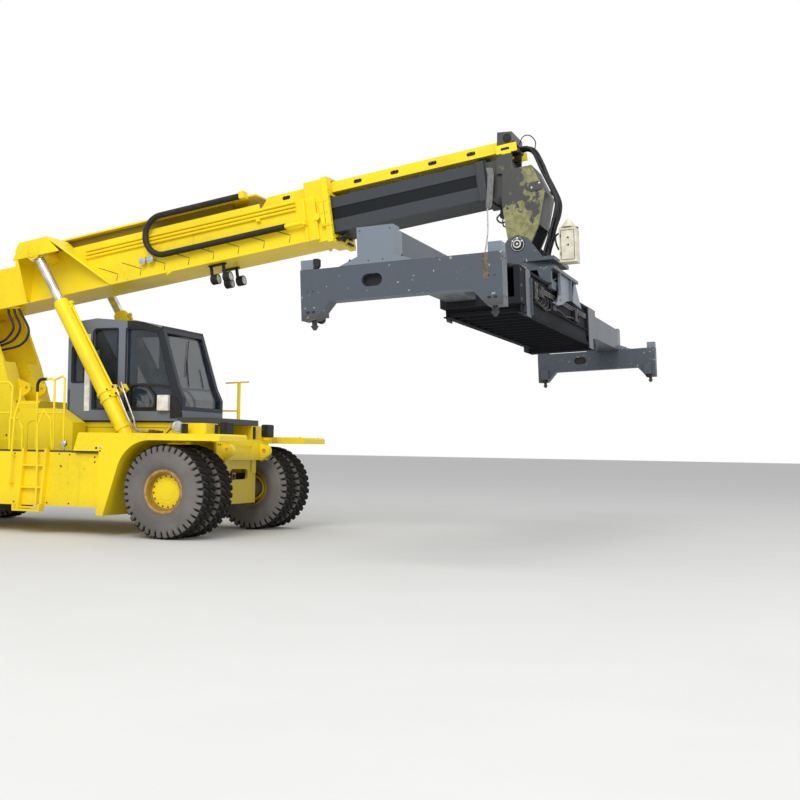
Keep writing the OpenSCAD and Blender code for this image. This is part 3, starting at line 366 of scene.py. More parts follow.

# %% [markdown]
# ## Which node wears what
# The part's record names a slot for each node, and each slot has one finish here. The rims and the
# spreader's main frame wear a look of their own, the main frame a darker one whose dark is painted
# shade, and the boom's head gets one further down. On the rims the barrel behind the hub is brown with
# brake dust: a ring is where the distance from the wheel's axis lies between two radii.

# %% Which node wears what
rim_paint = paint("worn_rim_paint", srgb(238, 208, 40), dirt=srgb(150, 118, 50), grime=0.3, chips=0.62,
                  low=None, slot="yellow_paint")
x, y, z = rim_paint.xyz()
for wheel_x in (0.0, STEER_X):
    radius = ((x - (wheel_x + DRIVE_AXLE_X) / 1000) ** 2 + (z - AXLE_Z / 1000) ** 2) ** 0.5
    barrel = radius.ramp(0.262, 0.285) * (radius < 0.40)
    rim_paint.colour = rim_paint.mix(barrel * 0.8, rim_paint.colour, srgb(126, 88, 48))
rim_paint.set(Base_Color=rim_paint.colour)

FINISHES = {f.slot: f for f in (yellow, spreader, boom_dark, dark_steel, cab_grey, cast_grey, pin_steel,
                                rod_chrome, rubber, black, hose_black, seat_cloth, lamp_metal, cream,
                                glass)}
OWN_LOOK = {"spreader_main": frame_shaded, "drive_rims_left": rim_paint, "drive_rims_right": rim_paint,
            "steer_rim_left": rim_paint, "steer_rim_right": rim_paint}
for part in frame["record"]["subparts"]:
    mesh = NODES[part["node"]].data
    mesh.materials.clear()
    mesh.materials.append(OWN_LOOK.get(part["node"], FINISHES[part["material_slot"]]).material)
print("materials set on", len(NODES), "nodes")

# %% [markdown]
# ## Surfaces
# A part is a pair: its points, worked out as whole arrays, and its faces. Everything round on this
# machine (tyres, pins, lamps, hubs) is a profile carried round an axis, which is a grid of points
# whose columns close. As whole arrays, the 25,000 points of a tyre need no loop and take a moment.

# %% Turned parts
def grid_faces(rows, cols, closed_rows=False):
    """Quads between neighbours on a rows x cols grid whose columns close round."""
    i = np.arange(rows if closed_rows else rows - 1)[:, None]
    j = np.arange(cols)[None, :]
    k, m = (i + 1) % rows, (j + 1) % cols
    return np.stack([i * cols + j, i * cols + m, k * cols + m, k * cols + j], -1).reshape(-1, 4).tolist()


def turned(profile, sides=32, axis="y", at=(0, 0, 0), closed=False):
    """Profile point (radius, along) becomes the circle (r cos t, along, r sin t) about the axis."""
    profile = np.asarray(profile, float)
    t = np.arange(sides) * 2 * math.pi / sides
    r, h = profile[:, :1], profile[:, 1:] + 0 * t
    ring = {"y": [r * np.sin(t), h, r * np.cos(t)], "z": [r * np.cos(t), r * np.sin(t), h],
            "x": [h, r * np.cos(t), r * np.sin(t)]}[axis]
    points = np.stack(ring, -1).reshape(-1, 3) + at
    faces = grid_faces(len(profile), sides, closed)
    if not closed:
        n = len(points)
        faces += [list(range(sides))[::-1], list(range(n - sides, n))]
    return points, faces


print("a plain disc has", len(turned([(10, 0), (10, 2)])[1]), "faces")

# %% [markdown]
# ## Plates and blocks
# Plates are cut from sheet, so a plate is its outline at two levels with walls between. A block is
# the same, with all edges cut a little, because a sharp edge never catches light, and real steel
# has none. A bevel modifier could cut them too, but eight corners in the formula cost nothing.

# %% Plates and blocks
def prism(outline, low, high, plane="xz"):
    """The outline (a, b) at the third coordinate low and again at high, joined by walls."""
    a, b = np.asarray(outline, float).T
    n = len(a)
    layers = []
    for level in (low, high):
        c = np.full(n, float(level))
        layers.append(np.stack({"xz": [a, c, b], "yz": [c, a, b], "xy": [a, b, c]}[plane], -1))
    i = np.arange(n)
    walls = np.stack([i, (i + 1) % n, (i + 1) % n + n, i + n], -1).tolist()
    return np.concatenate(layers), walls + [i[::-1].tolist(), (i + n).tolist()]


def slab(x, y, z, edge=5.0):
    """A box with its edges cut: an eight-cornered outline in X and Y, drawn in at the bottom and top."""
    (x0, x1), (y0, y1), (z0, z1) = sorted(x), sorted(y), sorted(z)
    e = min(edge, 0.3 * min(x1 - x0, y1 - y0, z1 - z0))

    def ring(inset, level):
        a0, a1, b0, b1 = x0 + inset, x1 - inset, y0 + inset, y1 - inset
        return [(a0 + e, b0, level), (a1 - e, b0, level), (a1, b0 + e, level), (a1, b1 - e, level),
                (a1 - e, b1, level), (a0 + e, b1, level), (a0, b1 - e, level), (a0, b0 + e, level)]
    points = np.array(ring(e, z0) + ring(0, z0 + e) + ring(0, z1 - e) + ring(e, z1), float)
    return points, grid_faces(4, 8) + [list(range(8))[::-1], list(range(24, 32))]


print("a block has", len(slab((0, 100), (0, 100), (0, 100))[1]), "faces")

# %% [markdown]
# ## Hoses, pipes and beads
# Hoses and pipes follow a curve through a few places where they bend. Blender's own curve objects
# would do it, and here the same is two short formulas: a smooth curve through the points, and
# circles set across it.

# %% Hoses, pipes and beads
def line(points, per=8):
    """Catmull-Rom curve: each stretch is a cubic whose end slopes come from the neighbours."""
    p = np.asarray(points, float)
    p = np.vstack([2 * p[0] - p[1], p, 2 * p[-1] - p[-2]])
    t = (np.arange(per) / per)[None, :, None]
    a, b, c, d = p[:-3, None], p[1:-2, None], p[2:-1, None], p[3:, None]
    q = 0.5 * (2 * b + (c - a) * t + (2 * a - 5 * b + 4 * c - d) * t ** 2 + (3 * b - a - 3 * c + d) * t ** 3)
    return np.vstack([q.reshape(-1, 3), p[-2]])


def tube(path, radius, sides=10):
    """Circles across a path. Their first axis is the tangent crossed with the axis it is furthest from."""
    p = np.asarray(path, float)
    tangent = np.gradient(p, axis=0)
    tangent /= np.linalg.norm(tangent, axis=1, keepdims=True)
    first = np.cross(tangent, np.eye(3)[np.argmin(np.abs(tangent).max(0))])
    first /= np.linalg.norm(first, axis=1, keepdims=True)
    second = np.cross(tangent, first)
    t = (np.arange(sides) * 2 * math.pi / sides)[None, :, None]
    points = (p[:, None] + radius * (np.cos(t) * first[:, None] + np.sin(t) * second[:, None]))
    points = points.reshape(-1, 3)
    n = len(points)
    return points, grid_faces(len(p), sides) + [list(range(sides))[::-1], list(range(n - sides, n))]


def rounded(outline, radius, per=5):
    """Each corner of a closed outline becomes a quadratic curve that starts and ends a radius away."""
    p = np.asarray(outline, float)
    back, ahead = np.roll(p, 1, 0) - p, np.roll(p, -1, 0) - p
    back *= radius / np.linalg.norm(back, axis=1, keepdims=True)
    ahead *= radius / np.linalg.norm(ahead, axis=1, keepdims=True)
    t = np.linspace(0, 1, per)[None, :, None]
    return (p[:, None] + back[:, None] * (1 - t) ** 2 + ahead[:, None] * t ** 2).reshape(-1, p.shape[1])


def frame_tube(outline, y, radius, flat=1.0):
    """Circles radius * (cos t * flat * Y + sin t * normal) along a closed outline in X and Z."""
    sides = 8
    p = np.insert(np.asarray(outline, float), 1, y, axis=1)
    tangent = np.roll(p, -1, 0) - np.roll(p, 1, 0)
    tangent /= np.linalg.norm(tangent, axis=1, keepdims=True)
    across = np.array([0.0, 1.0, 0.0])
    normal = np.cross(tangent, across)
    t = (np.arange(sides) * 2 * math.pi / sides)[None, :, None]
    points = p[:, None] + radius * (np.cos(t) * across * flat + np.sin(t) * normal[:, None])
    return points.reshape(-1, 3), grid_faces(len(p), sides, closed_rows=True)


def strip(points, width, y0, y1):
    """A polyline in X and Z, plus and minus half the width along its normal, thick from y0 to y1."""
    p = np.asarray(points, float)
    d = np.gradient(p, axis=0)
    n = np.stack([-d[:, 1], d[:, 0]], -1) / np.linalg.norm(d, axis=1, keepdims=True) * width / 2
    return prism(np.vstack([p + n, (p - n)[::-1]]), y0, y1)


print("a hose of one bend has", len(tube(line([(0, 0, 0), (100, 0, 0), (200, 50, 0)]), 10)[1]), "faces")

# %% [markdown]
# ## Bolts by the row
# Bolts come in rows and circles. Copying one part's points to many places gives a single mesh,
# which moves and renders as one piece.

# %% Bolts by the row
def scatter(part, places):
    """The same part at every place: its points plus the place."""
    points, faces = part
    places = np.asarray(places, float).reshape(-1, 3)
    moved = (points[None] + places[:, None]).reshape(-1, 3)
    return moved, [[i + k * len(points) for i in f] for k in range(len(places)) for f in faces]


def circle_of(n, radius, centre=(0, 0, 0), axis="y", start=0.0):
    """n places round a circle: centre + radius * (cos t, sin t), with t in n even steps."""
    t = start + np.arange(n) * 2 * math.pi / n
    a, b, o = radius * np.cos(t), radius * np.sin(t), 0 * t
    return np.stack({"y": [a, o, b], "z": [a, b, o], "x": [o, a, b]}[axis], -1) + centre


def bolt(size, axis="y", out=1.0):
    """A washer and a six-sided head, size across the corners, standing out along the axis."""
    r, h = size / 2, size * 0.36 * out
    washer, _ = turned([(r * 1.5, -1.0 * out), (r * 1.5, 0.2 * h)], 12, axis)
    head = turned([(r, 0), (r, 0.85 * h), (r * 0.8, h)], 6, axis)
    faces = grid_faces(2, 12) + [list(range(12))[::-1], list(range(12, 24))]
    return np.vstack([washer, head[0]]), faces + [[i + 24 for i in f] for f in head[1]]


print("a bolt has", len(bolt(30)[1]), "faces")

# %% [markdown]
# ## Pieces
# A piece joins parts into one mesh with one finish, and rides on the CAD body it is bolted to, so that
# it follows when the joints move. A hose across a joint is given the two bodies and a point on each,
# but rides on neither and stays where it is built. Faces must look outwards: a closed part whose
# signed volume is negative is inside out, and is turned.

# %% Pieces
def volume(points, faces):
    """Six times the signed volume: the sum of a . (b x c) over the faces' fans."""
    total = 0.0
    for size in {len(f) for f in faces}:
        f = np.array([g for g in faces if len(g) == size])
        for k in range(1, size - 1):
            total += np.einsum("ij,ij->", points[f[:, 0]], np.cross(points[f[:, k]], points[f[:, k + 1]]))
    return total


# triangles of each finished piece, by name
MADE = {}


class Piece:
    """Parts in one frame, one finish, and the body they ride on; with the two bodies of a joint they stay
    put.
    """

    def __init__(self, name, finish, body, place=on_chassis):
        self.name, self.finish, self.body, self.place = name, finish, body, place
        self.points, self.faces, self.marks, self.count = [], [], [], 0

    def add(self, *parts, both=False, place=None, mark=0.0):
        """both adds each part again on the other side of the centre plane."""
        for part in parts:
            for flip in ((1, -1) if both else (1,)):
                points = (place or self.place)(part[0] * (1, flip, 1))
                outwards = volume(points - points.mean(0), part[1]) > 0
                faces = part[1] if outwards else [f[::-1] for f in part[1]]
                self.points.append(points)
                self.faces += [[i + self.count for i in f] for f in faces]
                self.marks.append(np.broadcast_to(np.asarray(mark, np.float32), (len(points),)))
                self.count += len(points)
        return self

    def done(self, replaces=(), sharp=35.0):
        """The mesh is built, and every edge over the sharp angle stays a crease."""
        mesh = bpy.data.meshes.new(self.name)
        mesh.from_pydata(np.concatenate(self.points).tolist(), [], self.faces)
        mesh.polygons.foreach_set("use_smooth", np.ones(len(mesh.polygons), bool))
        mesh.set_sharp_from_angle(angle=math.radians(sharp))
        mesh.attributes.new("mark", "FLOAT", "POINT").data.foreach_set("value", np.concatenate(self.marks))
        mesh.materials.append(self.finish.material)
        obj = bpy.data.objects.new(self.name, mesh)
        bpy.context.scene.collection.objects.link(obj)
        if isinstance(self.body, str):
            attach(obj, self.body)
        else:
            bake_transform(obj)
        if replaces:
            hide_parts(*replaces)
        MADE[self.name] = sum(len(f) - 2 for f in self.faces)
        return obj


# %% [markdown]
# ## Tyres
# A port tyre has a smooth wall with two thin moulded lines, one near the rim and one near the
# shoulder, and heavy lugs cut by slanted grooves that run out over the shoulder. Lugs could be copied
# blocks, but then they would stand on the tyre like bricks. Here the tyre is one grid: one direction
# follows the closed section, the other goes round. A groove is a depth taken along the section's own
# normal, so the plain tyre's form stays.

# %% Tyre surface
# (radius, place across) of half a section, from the rim's edge out to the middle of the tread
WALL = [(335, 172), (345, 181), (362, 193), (384, 205), (389, 202), (395, 208), (430, 226), (470, 239),
        (505, 244), (560, 244), (610, 243), (640, 242), (646, 238), (653, 240), (680, 236), (702, 232),
        (722, 225), (742, 215), (760, 204), (776, 190), (787, 176), (795, 160), (795, 132), (795, 100),
        (795, 70), (795, 42), (795, 24), (795, 16)]
# millimetres of a groove's depth, and the share of a pitch by which it slants across the tread
DEPTH, SLANT = 36.0, 0.42


def tyre(y_mid, x_mid=0.0, pitches=38, per=12):
    """Radius and place across are the section's, less depth * normal where the groove's pulse is 1."""
    half = np.array(WALL, float)
    section = np.vstack([half, (half * (1, -1))[::-1]])
    d = np.roll(section, -1, 0) - np.roll(section, 1, 0)
    d[0], d[-1] = section[1] - section[0], section[-1] - section[-2]
    normal = np.stack([-d[:, 1], d[:, 0]], -1) / np.linalg.norm(d, axis=1, keepdims=True)
    r, h = section[:, :1], section[:, 1:]
    t = np.arange(pitches * per)[None, :] * 2 * math.pi / (pitches * per)
    # a groove lies where the phase round the tyre, shifted by the slant, is near one half
    slant = SLANT * np.clip((150 - np.abs(h)) / 130, 0, 1)
    phase = (t * pitches / (2 * math.pi) + slant * np.sign(h) + 0.5 * (h < 0)) % 1.0
    wide = 0.19 + 0.03 * (r > 790)
    pulse = np.clip((wide - np.abs(phase - 0.5)) / 0.05, 0, 1)
    # it starts on the shoulder at radius 648 and ends 20 mm from the middle of the tread
    reach = np.clip((r - 648) / 40, 0, 1) * np.clip((np.abs(h) - 20) / 8, 0, 1)
    depth = DEPTH * pulse * reach
    rr = r - depth * np.abs(normal[:, :1])
    hh = h - depth * np.abs(normal[:, 1:]) * np.sign(h)
    points = np.stack([rr * np.sin(t) + x_mid, hh + y_mid + 0 * t, rr * np.cos(t) + AXLE_Z], -1)
    points = points.reshape(-1, 3)
    # the share of black: full on the tread, less on its grooves' dusty floors, and more where they cross
    # the wall: there the black is painted shade in the grooves
    tread = np.clip((r - 748) / 30, 0, 1) * (1 - 0.45 * pulse * reach)
    tread = np.maximum(tread, 0.8 * pulse * reach * (r < 770)).reshape(-1)
    return (points, grid_faces(len(section), pitches * per, closed_rows=True)), tread


print("one tyre has", len(tyre(0)[0][1]), "faces")

# %% [markdown]
# ## Rubber and the six tyres
# Dust makes the walls grey-brown, and the tread stays black where it rolls. The surface function also
# returns how much of each point is black: the tread, and the grooves where they cross the wall, whose
# dark there is painted shade. It is kept in the mesh as an attribute, which the material reads, so the
# colour follows the grooves exactly. The pieces then take the place of the plain tyres.

# %% Rubber and the six tyres
tread_rubber = Mat("tread_rubber", slot="tyre", Specular_IOR_Level=0.15)
mark = tread_rubber.attribute("mark")
coarse, fine = tread_rubber.noise(1.6, 4.0), tread_rubber.noise(26.0, 5.0, 0.6)
wall = tread_rubber.mix(coarse.ramp(0.3, 0.7), srgb(124, 119, 115), srgb(104, 100, 96))
lug = tread_rubber.mix(fine.ramp(0.35, 0.7), srgb(22, 21, 20), srgb(40, 38, 36))
# the share kept in mark makes the tread black, and the grooves on the wall dark as painted shade
tread_rubber.set(Base_Color=tread_rubber.mix(mark.ramp(0.2, 0.8), wall, lug), Roughness=0.82 + fine * 0.12)
tread_rubber.bump(fine, 0.25, 0.004)

for side, word in SIDES.items():
    piece = Piece(f"drive_treads_{word}", tread_rubber, f"drive_{word}")
    for y in (1255, 1835):
        part, tread = tyre(side * y)
        piece.add(part, mark=tread)
    piece.done(replaces=[f"drive_tyres_{word}"])
    part, tread = tyre(side * 1410, STEER_X)
    piece = Piece(f"steer_tread_{word}", tread_rubber, f"steer_{word}").add(part, mark=tread)
    piece.done(replaces=[f"steer_tyre_{word}"])
print("tyres:", {k: v for k, v in MADE.items() if "tread" in k}, "triangles")

# %% [markdown]
# ## Rims and hubs
# The rim's lock ring is bare metal that has rusted to a tan. The drive hub's cover is a disc with a
# circle of bolts, a little wider than the hub's tube, and the steer hub has a domed cap. All three
# are turned profiles, as they are on a lathe, so their numbers are radii and depths that a ruler
# could check.

# %% Rims and hubs
rust_ring = plain("ring_rust", srgb(184, 146, 80), srgb(146, 106, 58), 11, 0.7, 0.2, slot="yellow_paint")
bolt_steel = plain("bolt_steel", srgb(126, 116, 100), srgb(92, 70, 52), 30, 0.5, 0.25, 0.55,
                   slot="pin_steel")
RING = [(326, 182), (322, 190), (326, 200), (345, 206), (362, 203), (371, 195), (366, 187), (345, 183)]

for side, word in SIDES.items():
    for body, x, y, face in ((f"drive_{word}", 0, 1835, 60), (f"steer_{word}", STEER_X, 1410, 121)):
        centre = (x, 0, AXLE_Z)
        Piece(f"{body}_lock_ring", rust_ring, body).add(
            turned([(r, side * (y + h)) for r, h in RING], 72, at=centre, closed=True)).done()
        hub = Piece(f"{body}_hub_cover", yellow, body)
        if x == 0:
            cover = [(250, 30), (286, 34), (290, 40), (290, 62), (282, 70), (216, 70), (212, 74),
                     (150, 76), (146, 80), (30, 82), (1, 82)]
            n, ring_r, z = 16, 258, y + 70
        else:
            cover = [(120, face - 20), (150, face - 16), (150, face + 14), (138, face + 22),
                     (90, face + 26), (60, face + 44), (1, face + 50)]
            n, ring_r, z = 10, 215, y + 1
        hub.add(turned([(r, side * (y + h)) for r, h in cover], 48, at=centre)).done()
        Piece(f"{body}_hub_bolts", bolt_steel, body).add(
            scatter(bolt(24 if x == 0 else 40, out=side),
                    circle_of(n, ring_r, (x, side * z, AXLE_Z), start=0.1))).done()
print("wheel trim:", sum("lock_ring" in k or "hub" in k for k in MADE), "pieces")

# %% [markdown]
# ## Seams of the boom
# On the outer box eight thin dark angled lines run over each side plate, where a seam has bled. They
# are bands of even width that stand 1.5 mm proud of the plate, so they stay sharp at any distance.
# The same could be a mask in the paint, but bands are placed by the same numbers as the bolts.

# %% Seams of the boom
line_black = plain("line_black", srgb(58, 50, 34), srgb(84, 70, 40), 18, 0.6, 0.2, slot="yellow_paint")
marks = Piece("boom_lines", line_black, "boom", on_boom)
for k in range(8):
    knee = 4150 + 512 * k
    bend = [(knee - 400, -38), (knee - 200, -132), (knee, -228), (knee - 20, -290), (knee - 40, -352)]
    marks.add(strip(bend, 12, -451.5, -449.7), both=True)
marks.done()
print("seams:", MADE["boom_lines"], "triangles")

# %% [markdown]
# ## Front flange and cover plates
# The front flange is bolted round the slide pads, so it carries rows of bolts on three sides. Cover
# plates close the adjusting holes behind it, and round caps with six bolts close the ends of the
# cylinders' head pins. Bolts painted into the finish would be quicker, but only a real head catches
# the light along its edge, and a bolt has fewer than thirty faces.

# %% Front flange and cover plates
flange = Piece("boom_flange_bolts", yellow, "boom", on_boom)
side_bolts = [(8550, y, w) for y in (-482, 482) for w in range(-440, 561, 125)]
low_bolts = [(8550, y, -472) for y in range(-400, 401, 133)]
flange.add(scatter(bolt(30, "x", 1), side_bolts + low_bolts))
flange.add(scatter(bolt(26, "y", -1), [(u, -540, w) for u in (8400, 8500) for w in (-180, 20, 220)]))
flange.add(scatter(bolt(26, "y", 1), [(u, 540, w) for u in (8400, 8500) for w in (-180, 20, 220)])).done()

plates = Piece("boom_cover_plates", yellow, "boom", on_boom)
plates.add(slab((8365, 8445), (-530, -509.5), (-220, 260)), both=True)
plates.add(slab((8460, 8540), (-530, -509.5), (-220, 260)), both=True)
plates.add(slab((7130, 7200), (-520, -449), (120, 175)), both=True)
plates.add(slab((7440, 7530), (-500, -449), (-30, 40)), both=True)
cap = [(96, -1098), (96, -1112), (88, -1122), (40, -1124), (30, -1134), (1, -1134)]
plates.add(turned(cap, 32, at=(2785, 0, 338)), both=True)
plates.add(scatter(bolt(26, "y", -1), circle_of(6, 66, (2785, -1123, 338))), both=True)
plates.add(tube(line([(5240, -560, -470), (5260, -520, -440), (5290, -452, -398)], 4), 16, 8)).done()
print("flange:", MADE["boom_flange_bolts"], "plates:", MADE["boom_cover_plates"], "triangles")

# %% [markdown]
# ## Hoses at the boom's mouth and in its duct
# Short black hoses loop between fittings under the inner box, and seven run straight through the
# duct. A hose that lies dead straight looks drawn, so a slow sine moves each by a few millimetres.

# %% Hoses at the boom's mouth and in its duct
mouth = Piece("boom_mouth_hoses", hose_black, "boom", on_boom)
mouth.add(slab((8552, 8640), (-400, -250), (-470, -425), 8))
mouth.add(slab((8552, 8600), (120, 330), (-470, -430), 8))
for k in range(4):
    y = -380 + 45 * k
    loop = [(8552, y, -440), (8640, y + 10, -432 + 8 * k), (8740 - 20 * k, y + 60, -398),
            (8700, y + 130, -385), (8610, y + 190, -400), (8552, y + 240, -432)]
    mouth.add(tube(line(loop, 7), 13, 8))
mouth.done()

duct = Piece("boom_duct_hoses", hose_black, "boom", on_boom)
for y in range(-180, 181, 60):
    duct.add(tube([(u, y + 3 * math.sin(u / 300 + y), 377 + 1.5 * math.cos(u / 210 + y))
                   for u in range(1850, 7151, 100)], 13, 8))
duct.done()
print("mouth:", MADE["boom_mouth_hoses"], "duct:", MADE["boom_duct_hoses"], "triangles")

# %% [markdown]
# ## Work lamps
# Each lamp is a short can with a domed lens. Can and lens are turned profiles, the bracket is a block,
# and the lens has a finish of its own, because a lens is what makes a can read as a lamp.

# %% Work lamps
lens_glass = plain("lens_glass", srgb(186, 190, 190), srgb(150, 155, 158), 30, 0.12, 0.08,
                   Coat_Weight=0.8, slot="lamp_metal")
lamps = Piece("boom_lamp_glass", lens_glass, "boom", on_boom)
for u in (4760, 4930):
    dome = [(58, -560), (60, -563), (50, -568), (25, -572), (1, -573)]
    lamps.add(turned(dome, 28, at=(u, 0, -120)), both=True)
for u in (6000, 6250):
    dome = [(72, 119), (74, 124), (60, 131), (30, 136), (1, 137)]
    lamps.add(turned(dome, 28, "x", (u, 250, -670)), both=True)
lamps.done()
guards = Piece("boom_lamp_rims", black, "boom", on_boom)
for u in (6000, 6250):
    can = [(86, -4), (93, 2), (93, 128), (86, 130), (80, 126), (80, 4), (40, -6)]
    guards.add(turned(can, 28, "x", (u, 250, -670), closed=True), both=True)
    guards.add(turned([(84, -8), (84, -0.5), (60, -18), (1, -18)], 28, "x", (u, 250, -670)), both=True)
    guards.add(slab((u - 24, u + 24), (226, 274), (-590, -402)), both=True)
guards.add(slab((5960, 6300), (205, 295), (-430, -401)), both=True).done()
print("boom pieces:", [k for k in MADE if k.startswith("boom")])

# %% [markdown]
# ## Chain of the hose tray
# Hoses follow the telescope in a chain of flat links, which lies in the tray behind the slots. Seen
# through the slots only its rhythm shows, so the links are copies of one block, 70 mm apart, with a
# row of side plates along each edge.

# %% Chain of the hose tray
LINK_STEP = 70
chain = Piece("tray_chain", black, "boom_front", on_boom)
link, side_plate = slab((0, 58), (-236, 236), (428, 552), 9), slab((0, 76), (-244, -222), (455, 525), 6)
chain.add(scatter(link, [(u, 0, 0) for u in range(7360, 11640, LINK_STEP)]))
chain.add(scatter(side_plate, [(u, 0, 0) for u in range(7380, 11600, LINK_STEP)]), both=True).done()
print("chain:", MADE["tray_chain"], "triangles")

# %% [markdown]
# ## Hoses over the head
# From the tray ten hoses run over the head and down to the spreader, which swings on the head pin. The
# piece is given the boom and the yoke with a start point and an end point, but rides on neither, so it
# stays where it is built. One path serves all ten, moved sideways, with a sine to make each sway. A
# simulated rope would settle once, for one pose.

# %% Hoses over the head
TRAY_Y = np.linspace(-150, 150, 10)
OVER_HEAD = np.array([(-330, 0, 1600), (-220, 0, 1625), (-60, 0, 1670), (70, 0, 1660), (176, 0, 1560),
                      (270, 0, 1390), (350, 0, 1210), (440, 0, 1000), (530, 0, 760), (528, 0, 560),
                      (485, 0, 366), (440, 0, 130), (392, 0, -90), (365, 0, -258)], float)
n = len(OVER_HEAD)
start, end = on_head([450, 0, 620]), on_head([450, 0, 40])
hoses = Piece("head_hoses", hose_black, ("boom_front", "yoke", tuple(start.tolist()), tuple(end.tolist())),
              on_head)
for k, y in enumerate(TRAY_Y):
    sway = np.sin(np.arange(n) * 0.9 + 2.4 * k) * 26
    path = OVER_HEAD + np.stack([sway * 0.7 + 16 * (k % 3), np.full(n, y * 0.8) + sway, sway * 0.25], -1)
    path[0, 1], path[-1] = y, (365 + 40 * (k % 3), y * 0.9, -258)
    hoses.add(tube(line(path, 6), 21 - 4 * (k % 2), 10))
hoses.done()
print("head hoses:", MADE["head_hoses"], "triangles")

# %% [markdown]
# ## Small loops and the hanging cable
# Thin loops of hose stand out beside the head, and their uneven bends make it look used. A grey cable
# hangs from the inner box's end to the yoke and, like the hoses, is given both bodies but stays where
# it is built. Each is one short list of points with a smooth curve through it.

# %% Small loops and the hanging cable
loops = Piece("head_small_loops", hose_black, "boom_front", on_head)
loops.add(tube(line([(-60, -190, 1700), (-11, -215, 1801), (60, -225, 1840), (150, -225, 1815),
                     (219, -220, 1716), (205, -210, 1605), (150, -200, 1540)], 8), 9, 8))
loops.add(tube(line([(-250, -260, 620), (-330, -270, 560), (-400, -275, 470), (-330, -280, 400),
                     (-250, -270, 420), (-238, -262, 500)], 8), 14, 8))
loops.add(tube(line([(-240, -230, 560), (-310, -225, 470), (-300, -230, 360), (-240, -240, 330)], 8),
               12, 8)).done()

cable_grey = plain("cable_grey", srgb(196, 196, 190), srgb(150, 148, 140), 20, 0.4, 0.2, slot="rod_chrome")
start, end = on_head([-520, -430, 420]), on_head([-520, -430, -60])
cable = Piece("head_cable", cable_grey, ("boom_front", "yoke", tuple(start.tolist()), tuple(end.tolist())),
              on_head)
cable.add(tube(line([(-523, -425, 640), (-520, -430, 560), (-508, -440, 360), (-505, -450, 190),
                     (-520, -470, 20), (-530, -500, -140), (-525, -510, -259)], 6), 12, 8)).done()
print("loops:", MADE["head_small_loops"], "cable:", MADE["head_cable"], "triangles")

# %% [markdown]
# ## Hoses from tower to boom
# Three hoses hang in a bow between a manifold on the tower and a block under the boom. On the machine
# the bow opens and closes as the boom lifts; here the hoses are given the chassis and the boom, but
# stay where they are built.

# %% Hoses from tower to boom
start, end = on_chassis([-4700, -400, 3350]), on_chassis([-4400, -330, 4100])
tower = Piece("tower_hoses", hose_black, ("chassis", "boom", tuple(start.tolist()), tuple(end.tolist())))
# (X, Z) of the three bows, from the boom down to the tower
BOWS = ([(-4630, 4180), (-4587, 4060), (-4457, 3803), (-4599, 3582), (-4788, 3496), (-4900, 3470)],
        [(-4500, 4200), (-4438, 4070), (-4295, 3799), (-4436, 3557), (-4786, 3431), (-4900, 3410)],
        [(-4380, 4215), (-4304, 4090), (-4086, 3728), (-4244, 3465), (-4701, 3361), (-4900, 3345)])
for k, path in enumerate(BOWS):
    p = np.array(path, float)
    ys = np.linspace(-330 - 12 * k, -440, len(p))
    tower.add(tube(line(np.stack([p[:, 0], ys, p[:, 1]], -1), 9), 24, 10))
tower.done()
manifold = Piece("tower_manifold", cast_grey, "chassis")
manifold.add(slab((-5060, -4895), (-499, -400), (3290, 3530), 8))
manifold.add(scatter(bolt(30, "x", 1), [(-4895, -410, z) for z in (3310, 3510)])).done()
Piece("boom_hose_block", yellow, "boom").add(slab((-4680, -4330), (-390, -290), (4165, 4205), 6)).done()
print("hoses:", [k for k in MADE if "hose" in k or "cable" in k])

# %% [markdown]
# ## Paint of the boom head
# The head's paint has worn through to an older olive coat in large soft patches, most of all low
# and at the front. Two noises, one broad and one for the ragged edge, are added to those two
# trends, and a narrow ramp cuts the sum into patches. A painted map would do the same once, while
# the formula needs no unwrapping.

# %% Paint of the boom head
head_paint = paint("boom_head_paint", srgb(66, 67, 66), dirt=srgb(96, 92, 84), chip=srgb(120, 116, 92),
                   grime=0.25, chips=0.66, low=None, slot="boom_dark_paint")
x, y, z = head_paint.xyz()
blot = head_paint.noise(1.5, 5.0, 0.62, head_paint.at(x * 1.2 + 3.1, y, z * 0.8))
edge = head_paint.noise(9.0, 4.0, 0.6)
front = (x * 0.9 + z * 0.2 - 6.62).ramp(-0.35, 0.25) * 0.10
low = z.ramp(5.62, 5.20) * 0.16
patch = (blot * 0.8 + edge * 0.2 + front + low).ramp(0.52, 0.545) * z.ramp(6.30, 6.15) * (y.abs() > 0.349)
olive = head_paint.mix(edge.ramp(0.35, 0.65), srgb(150, 148, 98), srgb(118, 114, 82))
head_paint.set(Base_Color=head_paint.mix(patch, head_paint.colour, olive))
NODES["boom_head"].data.materials[0] = head_paint.material
print("head paint:", len(head_paint.tree.nodes), "nodes")

# %% [markdown]
# ## Fittings of the head
# A bearing sits in the roller block, a bolted bracket on the cheek, and a plate with a round end hangs
# at the inner box's end. The tray's yellow sides run on past the block and end in a slot. The bearing
# is turned, and the rest are flat outlines cut to a thickness, as a torch cuts them from plate.

